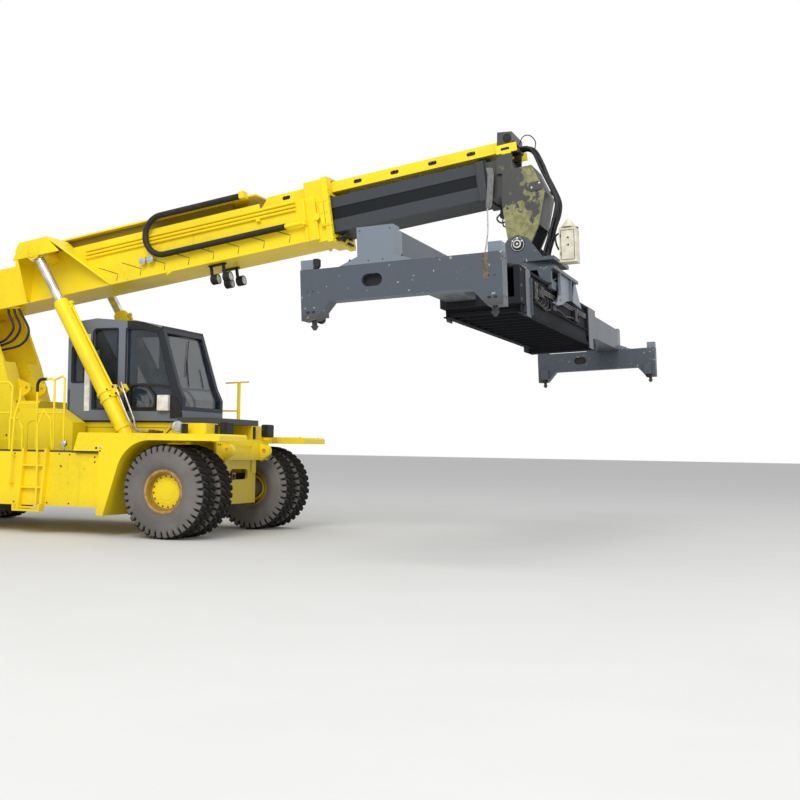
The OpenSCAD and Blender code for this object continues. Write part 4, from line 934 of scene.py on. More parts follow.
# %% Fittings of the head
bearing = turned([(70, -351), (70, -362), (60, -366), (58, -358), (36, -358), (34, -368), (1, -368)], 32,
                 at=(-227, 0, 1785))
Piece("head_bearings", black, "boom_front", on_head).add(bearing, both=True).done()
metal = Piece("head_bolts", lamp_metal, "boom_front", on_head)
metal.add(scatter(bolt(24, "y", -1), [(205, -373, 930), (330, -373, 1000)]), both=True).done()
dark = Piece("head_brackets", dark_steel, "boom_front", on_head)
bracket = rounded([(150, 880), (160, 1010), (300, 1040), (385, 1000), (380, 900), (240, 872)], 24)
dark.add(prism(bracket, -372, -349.5), both=True)
lobe = rounded([(11279, -487), (11346, -185), (11389, 64), (11370, 166), (11482, 141), (11493, 41),
                (11387, -486), (11331, -531)], 22)
ends = Piece("inner_end_plates", worn_grey, "boom_front", on_boom)
ends.add(prism(lobe, -437, -421), both=True)
ends.add(turned([(24, -437), (24, -444), (10, -446), (1, -446)], 20, at=(11331, 0, -470)), both=True).done()
dark.add(slab((-160, -60), (-330, -250), (1560, 1640)), slab((-130, -70), (-150, 150), (1600, 1650))).done()
tray_end = Piece("tray_end_plates", yellow, "boom_front", on_boom)
tray_side = [(11560, 362), (11915, 362), (11915, 492), (11905, 505), (11560, 505)]
tray_end.add(prism(tray_side, -358, -351), both=True)
tray_end.add(slab((11650, 11800), (-357, -290), (344, 363), 3), both=True).done()
tray_slot = rounded([(11640, 408), (11790, 408), (11790, 452), (11640, 452)], 20)
Piece("tray_end_slots", black, "boom_front", on_boom).add(prism(tray_slot, -359.5, -352), both=True).done()
print("head:", [k for k in MADE if k.startswith("head")])

# %% [markdown]
# ## Lift cylinders
# Halfway up each barrel a clamp carries two steel pipes. They bend down past the barrel to a
# fitting on the fender. The barrel rocks by 2 degrees when the boom lifts; the pipes are given the
# chassis and the barrel, but stay where they are built. Both sides come from one loop: side is -1 on
# the right and 1 on the left.

# %% Lift cylinders
pipe_steel = plain("pipe_steel", srgb(188, 184, 176), srgb(146, 138, 124), 9, 0.3, 0.15, 0.6,
                   slot="pin_steel")
fitting_brown = plain("fitting_brown", srgb(104, 64, 40), srgb(70, 46, 34), 16, 0.7, 0.15,
                      slot="dark_steel")
# (X, Z) of the two pipes, from the clamp down to the fitting
PIPE_PATHS = ([(-1700, 2640), (-1640, 2520), (-1480, 2220), (-1325, 1960), (-1220, 1860), (-1109, 1815),
               (-960, 1800), (-794, 1800)],
              [(-1545, 2690), (-1490, 2560), (-1350, 2280), (-1220, 2030), (-1150, 1920), (-1060, 1852),
               (-940, 1815), (-794, 1805)])
for side, word in SIDES.items():
    place, body = on_barrel[side], f"barrel_{word}"
    clamp = Piece(f"lift_clamp_{word}", yellow, body, place)
    for s in (1590, 1730):
        clamp.add(turned([(147, s), (166, s + 3), (166, s + 47), (147, s + 50)], 40, "x", closed=True))
    clamp.add(slab((1585, 1785), (-60, 60), (-250, -150)))
    clamp.add(slab((1600, 1700), (-42, 58), (-330, -245)))
    clamp.add(slab((1560, 1690), (-30, 48), (-430, -325)))
    clamp.add(slab((3560, 3620), (-34, 34), (-222, -150)))
    clamp.add(slab((720, 780), (-34, 34), (-220, -150))).done()
    spots = [(1615, 60, -215), (1755, 60, -215), (1625, 58, -300), (1675, 58, -300), (1580, 48, -400),
             (1670, 48, -360)]
    bolts = Piece(f"lift_clamp_bolts_{word}", fitting_brown, body, place)
    bolts.add(scatter(bolt(34, "y", side), [(s, side * y, z) for s, y, z in spots]))
    bolts.add(scatter(bolt(30, "y", side), [(s, side * 118, -112) for s in (1615, 1755)])).done()
    low, high = on_chassis([-1150, side * 1100, 1860]), on_chassis([-1500, side * 1000, 2450])
    across_foot = ("chassis", body, tuple(low.tolist()), tuple(high.tolist()))
    pipes = Piece(f"lift_pipes_{word}", pipe_steel, across_foot)
    for k, path in enumerate(PIPE_PATHS):
        p = np.array(path, float)
        y = side * np.interp(np.arange(8), [0, 1, 3, 5, 7], np.array([975, 985, 1040, 1165, 1190]) + 50 * k)
        pipes.add(tube(line(np.stack([p[:, 0], y, p[:, 1]], -1), 8), 17, 10))
    pipes.done()
    end = Piece(f"lift_fitting_{word}", fitting_brown, "chassis")
    nut = [(30, -800), (44, -795), (44, -720), (34, -712), (34, -640), (24, -632), (24, -560)]
    end.add(turned(nut, 6, "x", (0, side * 1190, 1801)))
    nut = [(30, -800), (40, -795), (40, -730), (26, -722), (26, -610)]
    end.add(turned(nut, 6, "x", (0, side * 1240, 1806))).done()
print("cylinders:", [k for k in MADE if k.startswith("lift")])

# %% [markdown]
# ## Window seals of the cab
# Rubber seals run round the side windows, a black panel closes the front corner under the roof, and
# a black curved frame stands in the lower part of the front side window. A seal is a bead carried
# along the window's outline: the outline is written once, its corners are rounded by formula, and
# the bead is squeezed where it lies on the wall.

# %% Window seals of the cab
CAB_Y = 720.0
SIDE_WINDOWS = [[(-2830, 2710), (-2830, 3350), (-2780, 3410), (-2570, 3410), (-2570, 2710)],
                [(-2370, 2220), (-2370, 3640), (-2320, 3690), (-1840, 3690), (-1840, 2220)],
                [(-1660, 2200), (-1660, 3690), (-1290, 3680), (-990, 3600), (-705, 2600), (-640, 2440),
                 (-640, 2200)]]
seals = Piece("cab_seals", black, "chassis")
for outline in SIDE_WINDOWS:
    seals.add(frame_tube(rounded(outline, 22), -CAB_Y - 2, 17, flat=0.45), both=True)
quarter = rounded([(-1590, 2232), (-1048, 2232), (-1046, 2440), (-1200, 2620), (-1400, 2660),
                   (-1590, 2640)], 70, 8)
seals.add(frame_tube(quarter, -691, 24), both=True)
sill = [(-1640, 2648), (-1300, 2665), (-1000, 2648), (-735, 2620)]
seals.add(strip(sill, 46, -708, -676), both=True)
corner = [(-1640, 3712), (-1640, 3828), (-1300, 3797), (-912, 3679), (-984, 3618), (-1288, 3702)]
seals.add(prism(corner, -CAB_Y - 7, -CAB_Y + 1), both=True)
guard = [(-705, 2060), (-705, 2440), (-590, 2430), (-500, 2260), (-456, 2150), (-456, 2060)]
seals.add(prism(guard, -CAB_Y - 16, -CAB_Y + 1))
pull = [(-2878, -CAB_Y - 8, 2200), (-2874, -CAB_Y - 12, 2350), (-2876, -CAB_Y - 12, 2580)]
seals.add(tube(line(pull, 6), 8, 8))


def lean(z):
    """X just outside the screen, which leans from (-620, 2640) back to (-935, 3620)."""
    return -620 - 315 * (z - 2640) / 980 + 16


# a wiper's arm, its blade and a short second arm stand on the screen
seals.add(tube([(lean(2650), -260, 2650), (lean(2900), -180, 2900), (lean(3200), -60, 3200)], 10, 8))
blade = [(lean(2830) + 6, -300, 2830), (lean(3200) + 6, -60, 3200), (lean(3520) + 6, 150, 3520)]
seals.add(tube(blade, 8, 8))
seals.add(tube([(lean(2650), 260, 2650), (lean(3000), 300, 3000)], 8, 8)).done()
print("seals:", MADE["cab_seals"], "triangles")

# %% [markdown]
# ## White trim of the cab
# Each side carries a white strip between its windows, and the right side a white box at the front
# corner. Both are blocks with their edges cut, as nothing about them asks for more.

# %% White trim of the cab
white_paint = plain("white_paint", srgb(238, 238, 234), srgb(214, 212, 204), 7, 0.45, 0.2,
                    slot="cream_plastic")
white = Piece("cab_white_trim", white_paint, "chassis")
white.add(slab((-2545, -2430), (-726, -719), (2180, 3600), 3), both=True)
white.add(slab((-940, -712), (-806, -719), (2185, 2470), 10))
white.done()
print("trim:", MADE["cab_white_trim"], "triangles")

# %% [markdown]
# ## Seat
# The cushions are crowned closed forms: a superellipsoid, whose powers below one push a ball out
# towards its box, with sewn channels where the surface is drawn in. With a base of blocks they take
# the place of the plain CAD seat.

# %% Seat
def pillow(x, y, z, channels, power=0.42, back=0.0):
    """centre + half * (s(cos a) s(cos b), s(cos a) s(sin b), s(sin a)), s(v) = sign(v) |v|^power."""
    lo, hi = np.array([x, y, z], float).T
    a = np.linspace(-math.pi / 2 + 0.02, math.pi / 2 - 0.02, 41)[:, None]
    b = np.arange(96)[None, :] * 2 * math.pi / 96

    def pushed(v):
        return np.sign(v) * np.abs(v) ** power

    unit = np.stack([pushed(np.cos(a)) * pushed(np.cos(b)), pushed(np.cos(a)) * pushed(np.sin(b)),
                     pushed(np.sin(a)) + 0 * b], -1)
    dent = sum(np.clip(1 - np.abs(unit[..., 1] - c) / 0.05, 0, 1) for c in channels)
    points = (hi + lo) / 2 + (hi - lo) / 2 * unit * (1 - 0.05 * dent)[..., None]
    points[..., 0] += back * (points[..., 2] - lo[2])
    caps = [list(range(96))[::-1], list(range(40 * 96, 41 * 96))]
    return points.reshape(-1, 3), grid_faces(41, 96) + caps


lower_pad = pillow((-2298, -1782), (-258, 258), (2502, 2638), (-0.5, 0.5))
cushion = Piece("seat_cushion", seat_cloth, "chassis").add(lower_pad).done(sharp=80)
upper_pad = pillow((-2298, -2166), (-248, 248), (2642, 3248), (-0.55, 0.55), back=-0.2)
backrest = Piece("seat_back", seat_cloth, "chassis").add(upper_pad).done(sharp=80)
base = Piece("seat_base", black, "chassis")
base.add(slab((-2195, -1905), (-175, 175), (2066, 2130), 12))
base.add(slab((-2140, -1960), (-120, 120), (2125, 2420), 10))
base.add(slab((-2198, -1902), (-178, 178), (2415, 2499), 12))
base.done(replaces=["operator_seat"])
print("seat:", MADE["seat_cushion"] + MADE["seat_back"], "triangles")

# %% [markdown]
# ## Seams of the side boxes
# Where two plates meet, a dark line shows. It is a strip that stands about 1.5 mm proud: thin enough
# to look flat, thick enough never to flicker with the plate behind it.

# %% Seams of the side boxes
SIDE_Y, FENDER_Y = 1985.0, 2085.0
seams = Piece("chassis_lines", line_black, "chassis")
SEAM = (-SIDE_Y - 1.6, -SIDE_Y + 0.5)
seams.add(slab((-1871, -891), SEAM, (1412, 1418), 1), both=True)
seams.add(slab((-1769, -1102), SEAM, (1398, 1406), 1), both=True)
seams.add(slab((-2890, -520), (-641.5, -639), (1880, 1890), 1), both=True)
seams.add(slab((-3740, -3733), SEAM, (520, 1410), 1), both=True).done()
print("seams:", MADE["chassis_lines"], "triangles")

# %% [markdown]
# ## Black parts of the chassis
# Drain holes, lamp housings, the rubber blocks at the deck's front, the pad on the guard rail and
# the bands of the exhaust stack are all black, so they are one piece with one finish, and so is a
# black sheet that closes the gap in front of the deck box, which is painted shade. A hole is a black
# disc on the plate: cutting it would cost faces and show nothing more.

# %% Black parts of the chassis
holes = Piece("chassis_black_parts", black, "chassis")
DRAINS = ((-1293, 1502, 22, FENDER_Y), (-1216, 1455, 15, FENDER_Y), (-1387, 1345, 16, SIDE_Y),
          (-1385, 1263, 16, SIDE_Y))
for x, z, r, y in DRAINS:
    holes.add(turned([(r, -y + 1), (r, -y - 2), (1, -y - 2.2)], 24, at=(x, 0, z)), both=True)
holes.add(slab((-100, -20), (-1335, -1235), (1766, 1950), 8), both=True)
holes.add(slab((-104, -96), (-1320, -1250), (1800, 1930), 3), both=True)
holes.add(slab((231, 243), (-760, -660), (1720, 1950), 4), both=True)
# a black sheet in the see-through gap in front of the deck box: painted shade where the gap is dark
holes.add(slab((408, 552), (-906, -652), (1752, 1992), 14), both=True)
holes.add(tube(line([(-2670, -1900, 2470), (-2670, -1900, 2590), (-2648, -1900, 2642),
                     (-2600, -1900, 2684), (-2470, -1900, 2693)], 5), 27, 10), both=True)
lamp_cable = [(-320, -1230, 1880), (-400, -1210, 1840), (-480, -1190, 1780), (-520, -1180, 1768)]
holes.add(tube(line(lamp_cable, 5), 12, 8), both=True)
STACK = (-5300, 760, 0)
holes.add(turned([(66, 3040), (74, 3050), (74, 3100), (66, 3110)], 32, "z", STACK))
holes.add(turned([(134, 1780), (142, 1785), (142, 1830), (134, 1835)], 40, "z", STACK))
holes.add(turned([(134, 2540), (142, 2545), (142, 2590), (134, 2595)], 40, "z", STACK))
holes.add(slab((-5365, -5230), (700, 820), (3126, 3134), 3)).done()
print("black parts:", MADE["chassis_black_parts"], "triangles")

# %% [markdown]
# ## Lamps of the chassis
# Small lamps sit on the fenders and on the side boxes. The two head lamps look outwards by 45
# degrees, so their lens is turned about X and then placed by a function of its own for each side.

# %% Lamps of the chassis
COS_45 = 0.70710678
small = Piece("chassis_small_lamps", lamp_metal, "chassis")
button = [(24, -FENDER_Y + 1), (24, -FENDER_Y - 6), (16, -FENDER_Y - 10), (1, -FENDER_Y - 11)]
small.add(turned(button, 24, at=(-1204, 0, 1514)), both=True)
can = [(30, -1930), (52, -1935), (56, -1990), (48, -1998), (30, -2002), (1, -2003)]
small.add(turned(can, 28, at=(-2040, 0, 1570)), both=True)
small.add(slab((-2052, -2028), (-1965, -1940), (1450, 1525), 4), both=True).done()


def on_lamp(side):
    """Points of a lamp that looks along +X, turned 45 degrees outwards and moved to its corner."""
    def place(p):
        along, across = (p[..., 0] - p[..., 1]) * COS_45, (p[..., 0] + p[..., 1]) * COS_45
        return on_chassis(np.stack([along - 220, side * (across + 1290), p[..., 2] + 1890], -1))
    return place


lens = turned([(92, 74), (94, 80), (80, 88), (50, 95), (20, 98), (1, 98.5)], 36, "x")
glass_front = Piece("head_lamp_glass", lens_glass, "chassis")
glass_front.add(lens, place=on_lamp(1)).add(lens, place=on_lamp(-1)).done()
sleeve = tube([(-750, 1900, 1768), (-750, 1900, 2864)], 34, 16)
Piece("mirror_post_sleeve", yellow, "chassis").add(sleeve).done()
print("lamps:", MADE["chassis_small_lamps"] + MADE["head_lamp_glass"], "triangles")

# %% [markdown]
# ## Tail lamps
# Each corner of the counterweight has a row of three lenses: clear, amber and red, from the outside
# in. They lie in the recess that the CAD part has for them. Blocks with cut edges are enough, as a
# coloured lens shows its colour and one highlight.

# %% Tail lamps
TAIL = -7750.0
red = plain("lens_red", srgb(168, 26, 22), srgb(128, 20, 18), 24, 0.2, 0.1, Coat_Weight=0.7,
            slot="lamp_metal")
amber = plain("lens_amber", srgb(222, 124, 20), srgb(190, 98, 16), 24, 0.2, 0.1, Coat_Weight=0.7,
              slot="lamp_metal")
for name, finish, place_y in (("red", red, (-1075, -910)), ("amber", amber, (-1185, -1085)),
                              ("clear", lens_glass, (-1290, -1195))):
    lens = slab((TAIL + 8, TAIL + 40), place_y, (1390, 1510), 8)
    Piece(f"rear_lamps_{name}", finish, "chassis").add(lens, both=True).done()
print("tail lamps:", [k for k in MADE if k.startswith("rear")])

# %% [markdown]
# ## Bolts and shackle of the chassis
# Bolt heads along the plates' edges give the eye its scale. They are placed in rows, as they are
# drilled. A shackle with its pin hangs in the slot of the front plate, and a towing pin with a collar
# stands in the tail. The shackle is a hose's tube carried round a circle: one helper, another use.

# %% Bolts and shackle of the chassis
fixings = Piece("chassis_fixings", bolt_steel, "chassis")
tow_pin = [(28, 985), (30, 990), (30, 1175), (50, 1180), (50, 1200), (1, 1204)]
fixings.add(turned(tow_pin, 24, "z", (TAIL + 75, 0, 0)))
spots = [(x, -1850, z) for x in (-7500, -7250, -7120) for z in (1000, 1400)]
fixings.add(scatter(bolt(42, "y", -1), spots), both=True)
tower_foot = ((-6300, 1760), (-5900, 1720), (-5400, 1720), (-4900, 1720), (-4400, 1720), (-4120, 1760))
fixings.add(scatter(bolt(30, "y", -1), [(x, -570.5, z) for x, z in tower_foot]), both=True)
spots = [(400, y, z) for y in (-930, -860, 860, 930) for z in (1370, 1600)]
fixings.add(scatter(bolt(26, "x", 1), spots))
spots = [(x, -SIDE_Y, z) for x in (-4650, -3800, -3650, -3050, -2350, -1900) for z in (540, 1380)]
fixings.add(scatter(bolt(22, "y", -1), spots), both=True)
spots = [(x, y, 1765) for x in (950, 300, -900, -1500) for y in (-1200, -2040)]
fixings.add(scatter(bolt(24, "z", 1), spots), both=True)
ring = circle_of(28, 56, (330, -230, 1035), axis="x")
fixings.add(tube(np.vstack([ring, ring[:1]]), 15, 8), tube([(330, -300, 1085), (330, -160, 1085)], 17, 10))
fixings.add(slab((318, 342), (-262, -198), (1070, 1100), 4)).done()
print("fixings:", MADE["chassis_fixings"], "triangles")

# %% [markdown]
# ## Head pin and slew ring
# The spreader's yoke hangs on the head pin. On each side the pin's end shows a bright washer, three
# bolts and a dark gap round them, and the slew ring below shows a full circle of bolts. The discs
# are turned profiles, and a six-sided profile makes a bolt, so all of them share one function.

# %% Head pin and slew ring
pin = Piece("yoke_pin_washers", lamp_metal, "yoke", on_head)
pin.add(turned([(100, -430.5), (110, -430.5), (110, -440), (100, -440)], 48, closed=True), both=True)
pin.add(turned([(46, -469.5), (70, -469.5), (70, -482), (46, -482)], 40, closed=True), both=True)
pin.add(turned([(20, -469.5), (20, -478), (1, -479)], 24), both=True)
for a in (0.5, 1.57, 2.64):
    spot = (88 * math.cos(a), 0, 88 * math.sin(a))
    pin.add(turned([(19, -430), (19, -480), (13, -484), (1, -485)], 6, at=spot), both=True)
pin.done()
rings = Piece("yoke_pin_rings", black, "yoke", on_head)
rings.add(turned([(90.5, -430.5), (122, -430.5), (122, -436), (90.5, -436)], 48, closed=True), both=True)
rings.add(turned([(70, -469.5), (90, -469.5), (90, -474), (70, -474)], 40, closed=True), both=True)
rings.add(turned([(44, -469.5), (44, -473), (1, -473)], 32), both=True).done()
ring_bolts = Piece("yoke_ring_bolts", bolt_steel, "yoke", on_spreader)
ring_bolts.add(scatter(bolt(30, "z", 1), circle_of(32, 512, (0, 0, -259), "z", 0.1))).done()
print("pin:", [k for k in MADE if k.startswith("yoke")])

# %% [markdown]
# ## Teeth of the slew ring
# The slew motors drive a gear of 132 teeth round the ring. Its outline steps between two radii, two
# points low and two high for each tooth, and is cut to the ring's height. At this distance the
# straight flanks of the steps can't be told from rolled ones.

# %% Teeth of the slew ring
TEETH = 132
ROOT, TIP = 590.5, 604.0
turn = np.arange(TEETH * 4) * 2 * math.pi / (TEETH * 4)
gear_r = np.tile([ROOT, ROOT, TIP, TIP], TEETH)
gear = Piece("slew_ring_teeth", dark_steel, "slew", on_spreader)
outline = np.stack([gear_r * np.cos(turn), gear_r * np.sin(turn)], -1)
gear.add(prism(outline, -476, -426, "xy")).done(sharp=20)
print("teeth:", MADE["slew_ring_teeth"], "triangles")

# %% [markdown]
# ## Valves and hoses of the slew frame
# On the slew frame a valve block feeds two slew motors. Its hoses cross each other in no order, and
# that disorder is what makes it look like plumbing. So no rule lays them: each is a route of four to
# six chosen points with a smooth curve through them.

# %% Valves and hoses of the slew frame
valves = Piece("slew_valves", cast_grey, "slew", on_spreader)
valves.add(slab((240, 420), (-260, -40), (-640, -531), 8))
valves.add(slab((-420, -260), (60, 240), (-640, -531), 8))
valves.add(slab((470, 560), (-700, -520), (-700, -560), 8))
valves.add(slab((430, 520), (300, 480), (-690, -580), 8))
for y in (400, -400):
    valves.add(turned([(84, -662), (96, -656), (96, -600), (84, -594)], 24, "z", (0, y, 0)))
for k in range(4):
    valves.add(turned([(17, -690), (20, -686), (20, -642), (14, -640)], 12, "z", (270 + 42 * k, -215, 0)))
valves.done()
lines = Piece("slew_hoses", hose_black, "slew", on_spreader)
ROUTES = [[(300, -150, -620), (260, -260, -700), (120, -330, -700), (60, -390, -640)],
          [(340, -150, -620), (420, -300, -710), (500, -420, -700), (520, -540, -640)],
          [(380, -120, -620), (520, -60, -690), (540, 120, -700), (480, 300, -650)],
          [(-300, 150, -620), (-260, 280, -700), (-120, 340, -700), (-60, 390, -640)],
          [(520, -690, -600), (560, -780, -620), (540, -850, -680), (430, -860, -722),
           (300, -840, -700), (240, -800, -560)],
          [(515, -600, -700), (430, -560, -722), (280, -560, -716), (180, -480, -640), (120, -420, -600)],
          [(470, 470, -600), (540, 600, -640), (550, 740, -700), (460, 830, -716), (330, 800, -600)],
          [(520, -240, -560), (575, -200, -620), (560, -100, -690), (480, -60, -716), (380, -160, -650)],
          [(-420, -600, -545), (-520, -480, -640), (-540, -200, -700), (-460, 60, -680), (-380, 150, -620)]]
for k, route in enumerate(ROUTES):
    lines.add(tube(line(route, 8), 19 - 4 * (k % 2), 8))
lines.done()
print("slew hoses:", MADE["slew_hoses"], "triangles")

# %% [markdown]
# ## Hoses and bolts on the main frame
# Four hoses lie along the main frame's top plate, with a slow sine so that none is quite straight, and
# one goes on over each sleeve. Bolts hold the sleeves' plates on top and at both faces.

# %% Hoses and bolts on the main frame
frame_lines = Piece("spreader_hoses", hose_black, "spreader", on_spreader)
for k, x in enumerate((330, 365, -330, -365)):
    y = np.linspace(-2030, 2030, 48)
    # the plate is a little lower between the runners of the slew frame
    z = np.where(np.abs(y) < 1120, -732.3, -732.0)
    frame_lines.add(tube(np.stack([x + 4 * np.sin(y / 260 + k), y, z], -1), 12, 8))
for side in (-1, 1):
    route = [(365, side * 2030, -732), (420, side * 2100, -722), (440, side * 2300, -728),
             (440, side * 2700, -733)]
    frame_lines.add(tube(line(route, 6), 12, 8))
frame_lines.done()
trim = Piece("spreader_bolts", bolt_steel, "spreader", on_spreader)
ROWS = (-520, -380, -160, 160, 380, 520)
trim.add(scatter(bolt(36, "z", 1), [(x, y, -750) for x in ROWS for y in (-2660, -2480)]), both=True)
for face in (1, -1):
    spots = [(600 * face, y, z) for y in (-2680, -2160) for z in (-820, -1040, -1240)]
    trim.add(scatter(bolt(34, "x", face), spots), both=True)
trim.done()
print("frame lines:", MADE["spreader_hoses"], "bolts:", MADE["spreader_bolts"], "triangles")

# %% [markdown]
# ## Lower part of the main frame
# On the machine the main frame hangs deeper than the plain box that the solids have. Two side
# channels with cross ribs between them hang below it, and skirts hang on the sleeves. They are plates
# placed on the faces of the box: one loop makes both faces, so front and back can't differ.

# %% Lower part of the main frame
# the lower frame wears the main frame's darker paint, whose dark is painted shade
lower = Piece("spreader_lower_frame", frame_shaded, "spreader", on_spreader)
skirts = Piece("spreader_sleeve_skirts", spreader, "spreader", on_spreader)
for s in (-1, 1):
    lower.add(slab((s * 548, s * 566), (-2600, 2740), (-1412, -1170), 3))
    lower.add(slab((s * 560, s * 604), (-2090, 2090), (-1194, -1176), 3))
    lower.add(slab((s * 500, s * 604), (-2600, 2740), (-1414, -1396), 3))
    skirts.add(slab((s * 600.5, s * 614), (2137, 2775), (-1500, -752), 4))
    skirts.add(slab((s * 600.5, s * 614), (-2434, -2175), (-1450, -752), 4))
    skirts.add(slab((s * 560, s * 640), (-2172, -2158), (-1412, -862), 3))
    skirts.add(slab((s * 560, s * 614), (-2434, -2420), (-1450, -1290), 3))
for y in range(-2560, 2700, 374):
    lower.add(slab((-548, 548), (y, y + 26), (-1404, -1240), 3))
lower.add(slab((-548, 548), (-2590, 2730), (-1360, -1350), 2))
lower.add(slab((-600, 614), (2500, 2740), (-1500, -1290), 4)).done()
skirts.done()
print("lower frame:", MADE["spreader_lower_frame"], "skirts:", MADE["spreader_sleeve_skirts"], "triangles")

# %% [markdown]
# ## Plumbing between the channels
# Valve boxes, a motor, pipes and loops of hose fill the channel between the flanges. In the photo it
# reads as dark and crowded, with the pipes catching a thin line of light, so three pieces share it:
# black boxes, worn grey pipes and black hoses.

# %% Plumbing between the channels
gear_box = Piece("spreader_valve_boxes", black, "spreader", on_spreader)
tubes = Piece("spreader_side_hoses", hose_black, "spreader", on_spreader)
pipes = Piece("spreader_side_pipes", worn_grey, "spreader", on_spreader)
for s in (-1, 1):
    gear_box.add(slab((s * 550, s * 628), (-1960, -1760), (-1150, -880), 6))
    gear_box.add(slab((s * 550, s * 620), (-1540, -1330), (-1060, -890), 6))
    motor = [(62, s * 550), (62, s * 620), (40, s * 630), (1, s * 630)]
    gear_box.add(turned(motor, 24, "x", (0, -1640, -1010)))
    gear_box.add(slab((s * 550, s * 618), (960, 1160), (-1150, -960), 6))
    gear_box.add(slab((s * 550, s * 612), (-700, -480), (-1160, -1040), 6))
    for k, z in enumerate((-905, -935, -965)):
        pipes.add(tube([(s * 572, -1330 + 60 * k, z), (s * 572, 2080, z)], 9, 8))
    for y in (-1250, -850, -100, 500, 1300, 1900):
        pipes.add(slab((s * 551, s * 586), (y, y + 26), (-982, -890), 2))
    pipes.add(scatter(bolt(26, "x", s), [(s * 628, y, z) for y in (-1930, -1790) for z in (-1120, -910)]))
    knob = [(26, s * 628), (30, s * 632), (30, s * 636), (1, s * 636)]
    pipes.add(turned(knob, 20, "x", (0, -1860, -1010)))
    for k in range(5):
        y0, y1, drop = -1900 + 130 * k, -1640 + 210 * k, -1120 - 14 * k
        loop = [(s * 590, y0, -1150), (s * 604, y0 + 20, drop - 30), (s * 600, (y0 + y1) / 2, drop - 34),
                (s * 596, y1, drop + 30), (s * 572, y1 + 70, -1010)]
        tubes.add(tube(line(loop, 6), 13, 8))
    for k in range(4):
        # a coiled hose: turns that are smaller inside and lie side by side in two layers
        x, wide, high = s * (588 + 12 * (k % 2)), 150 - 18 * k, 92 - 16 * k
        ring = [(x, 1240 + wide * math.cos(a), -1050 - high * math.sin(a))
                for a in np.linspace(0, 2 * math.pi, 29)]
        tubes.add(tube(ring, 12, 8))
    tubes.add(tube([(s * 590, y, -1130 - 20 * math.sin(y / 170)) for y in range(-480, 961, 60)], 15, 8))
for k in range(4):
    x = 250 + 46 * k
    loop = [(x, -2745, -860), (x + 10, -2790, -900 - 20 * k), (x + 40, -2806, -1010),
            (x - 10, -2796, -1100 + 15 * k), (x - 60, -2745, -1120)]
    tubes.add(tube(line(loop, 7), 19, 8))
gear_box.done()
pipes.done()
tubes.done()
print("plumbing:", MADE["spreader_valve_boxes"] + MADE["spreader_side_hoses"], "triangles")

# %% [markdown]
# ## Hangers of the slew frame
# Outside its posts the slew frame carries cut plates, the wide one with a flange on each edge and two
# round holes. The outlines are (Y, Z) points, cut to 14 mm. A Boolean would cut real holes, but they
# open on dark steel, so black discs show the same with fewer faces.

# %% Hangers of the slew frame
WIDE_PLATE = [(-952, -1062), (-577, -1021), (-489, -900), (-489, -531), (377, -531), (377, -883),
              (60, -930), (-200, -1010), (-577, -1075)]
NARROW_PLATE = [(607, -870), (1314, -897), (880, -531), (740, -531)]
hangers = Piece("slew_hangers", grey_plate, "slew", on_spreader)
for s in (-1, 1):
    hangers.add(prism(WIDE_PLATE, s * 642, s * 656, "yz"))
    hangers.add(slab((s * 642, s * 700), (-489, -475), (-900, -531), 3))
    hangers.add(slab((s * 642, s * 700), (363, 377), (-883, -531), 3))
    hangers.add(prism(NARROW_PLATE, s * 642, s * 656, "yz"))
hangers.done()
holes_in = Piece("slew_hanger_holes", black, "slew", on_spreader)
for s in (-1, 1):
    for r, y, z in ((38, -700, -1035), (26, -380, -960)):
        holes_in.add(turned([(r, s * 655), (r, s * 657.5), (1, s * 657.6)], 24, "x", (0, y, z)))
holes_in.done()
print("hangers:", MADE["slew_hangers"], "triangles")

# %% [markdown]
# ## End beams
# Each end beam has bolt heads, small slots and plugs on its outer face, a dark backing in its
# lightening slot, a hook and rollers by its legs, and a patch of rusty plate where its load rubs. The
# slots are thin black blocks that stand 1.6 mm proud, which needs no cut. One loop makes both ends:
# side is -1 on the right and 1 on the left.

# %% End beams
rusty = plain("rusty_plate", srgb(112, 96, 84), srgb(84, 66, 56), 24, 0.85, 0.15, bump=0.3,
              slot="spreader_paint")
END_Y = 5992.5
HOOK = rounded([(-1089, -1056), (-1016, -1062), (-1018, -1150), (-1060, -1189.5), (-1078, -1189.5),
                (-1050, -1120), (-1089, -1085)], 12)
for side, word in SIDES.items():
    body, arm = f"end_{word}", 275 * side
    dark = Piece(f"end_black_parts_{word}", black, body, on_spreader)
    far = side * (END_Y + 106)
    for x in (-1165, -1094, 1094, 1165):
        dark.add(slab((x - 22, x + 22), (far - side, far + side * 1.6), (-1720, -1692), 1))
        plug = [(9, far - side), (9, far + side * 1.6), (1, far + side * 1.7)]
        dark.add(turned(plug, 12, at=(x, 0, -1457)))
    dark.add(prism(HOOK, side * (END_Y + 20), side * (END_Y + 80)))
    dark.add(slab((-462, -198), (side * (END_Y - 70), side * (END_Y + 30)), (-1460, -1300), 2))
    roller_y = END_Y - 158 if side > 0 else -END_Y + 158 - 68
    for x in (-1100, 1100):
        dark.add(turned([(40, 0), (52, 6), (52, 62), (40, 68)], 24, at=(x, roller_y, -1770)))
    dark.done()
    steel = Piece(f"end_bolts_{word}", dark_steel, body, on_spreader)
    spots = [(330, -1130), (-330, -1130), (-90, -1150), (90, -1150), (-190, -790), (190, -790)]
    steel.add(scatter(bolt(22, "y", side), [(arm + x, far - side * 6.3, z) for x, z in spots]))
    for face in (1, -1):
        spots = [(1248.5 * face, side * (END_Y + y), z) for y in (-60, 60) for z in (-1250, -1700)]
        steel.add(scatter(bolt(30, "x", face), spots))
    steel.done()
    rust = Piece(f"end_rust_{word}", rusty, body, on_spreader)
    rust.add(slab((1030, 1092), (far - side, far + side * 1.6), (-1490, -1193), 1)).done()
print("ends:", [k for k in MADE if k.startswith("end_")])

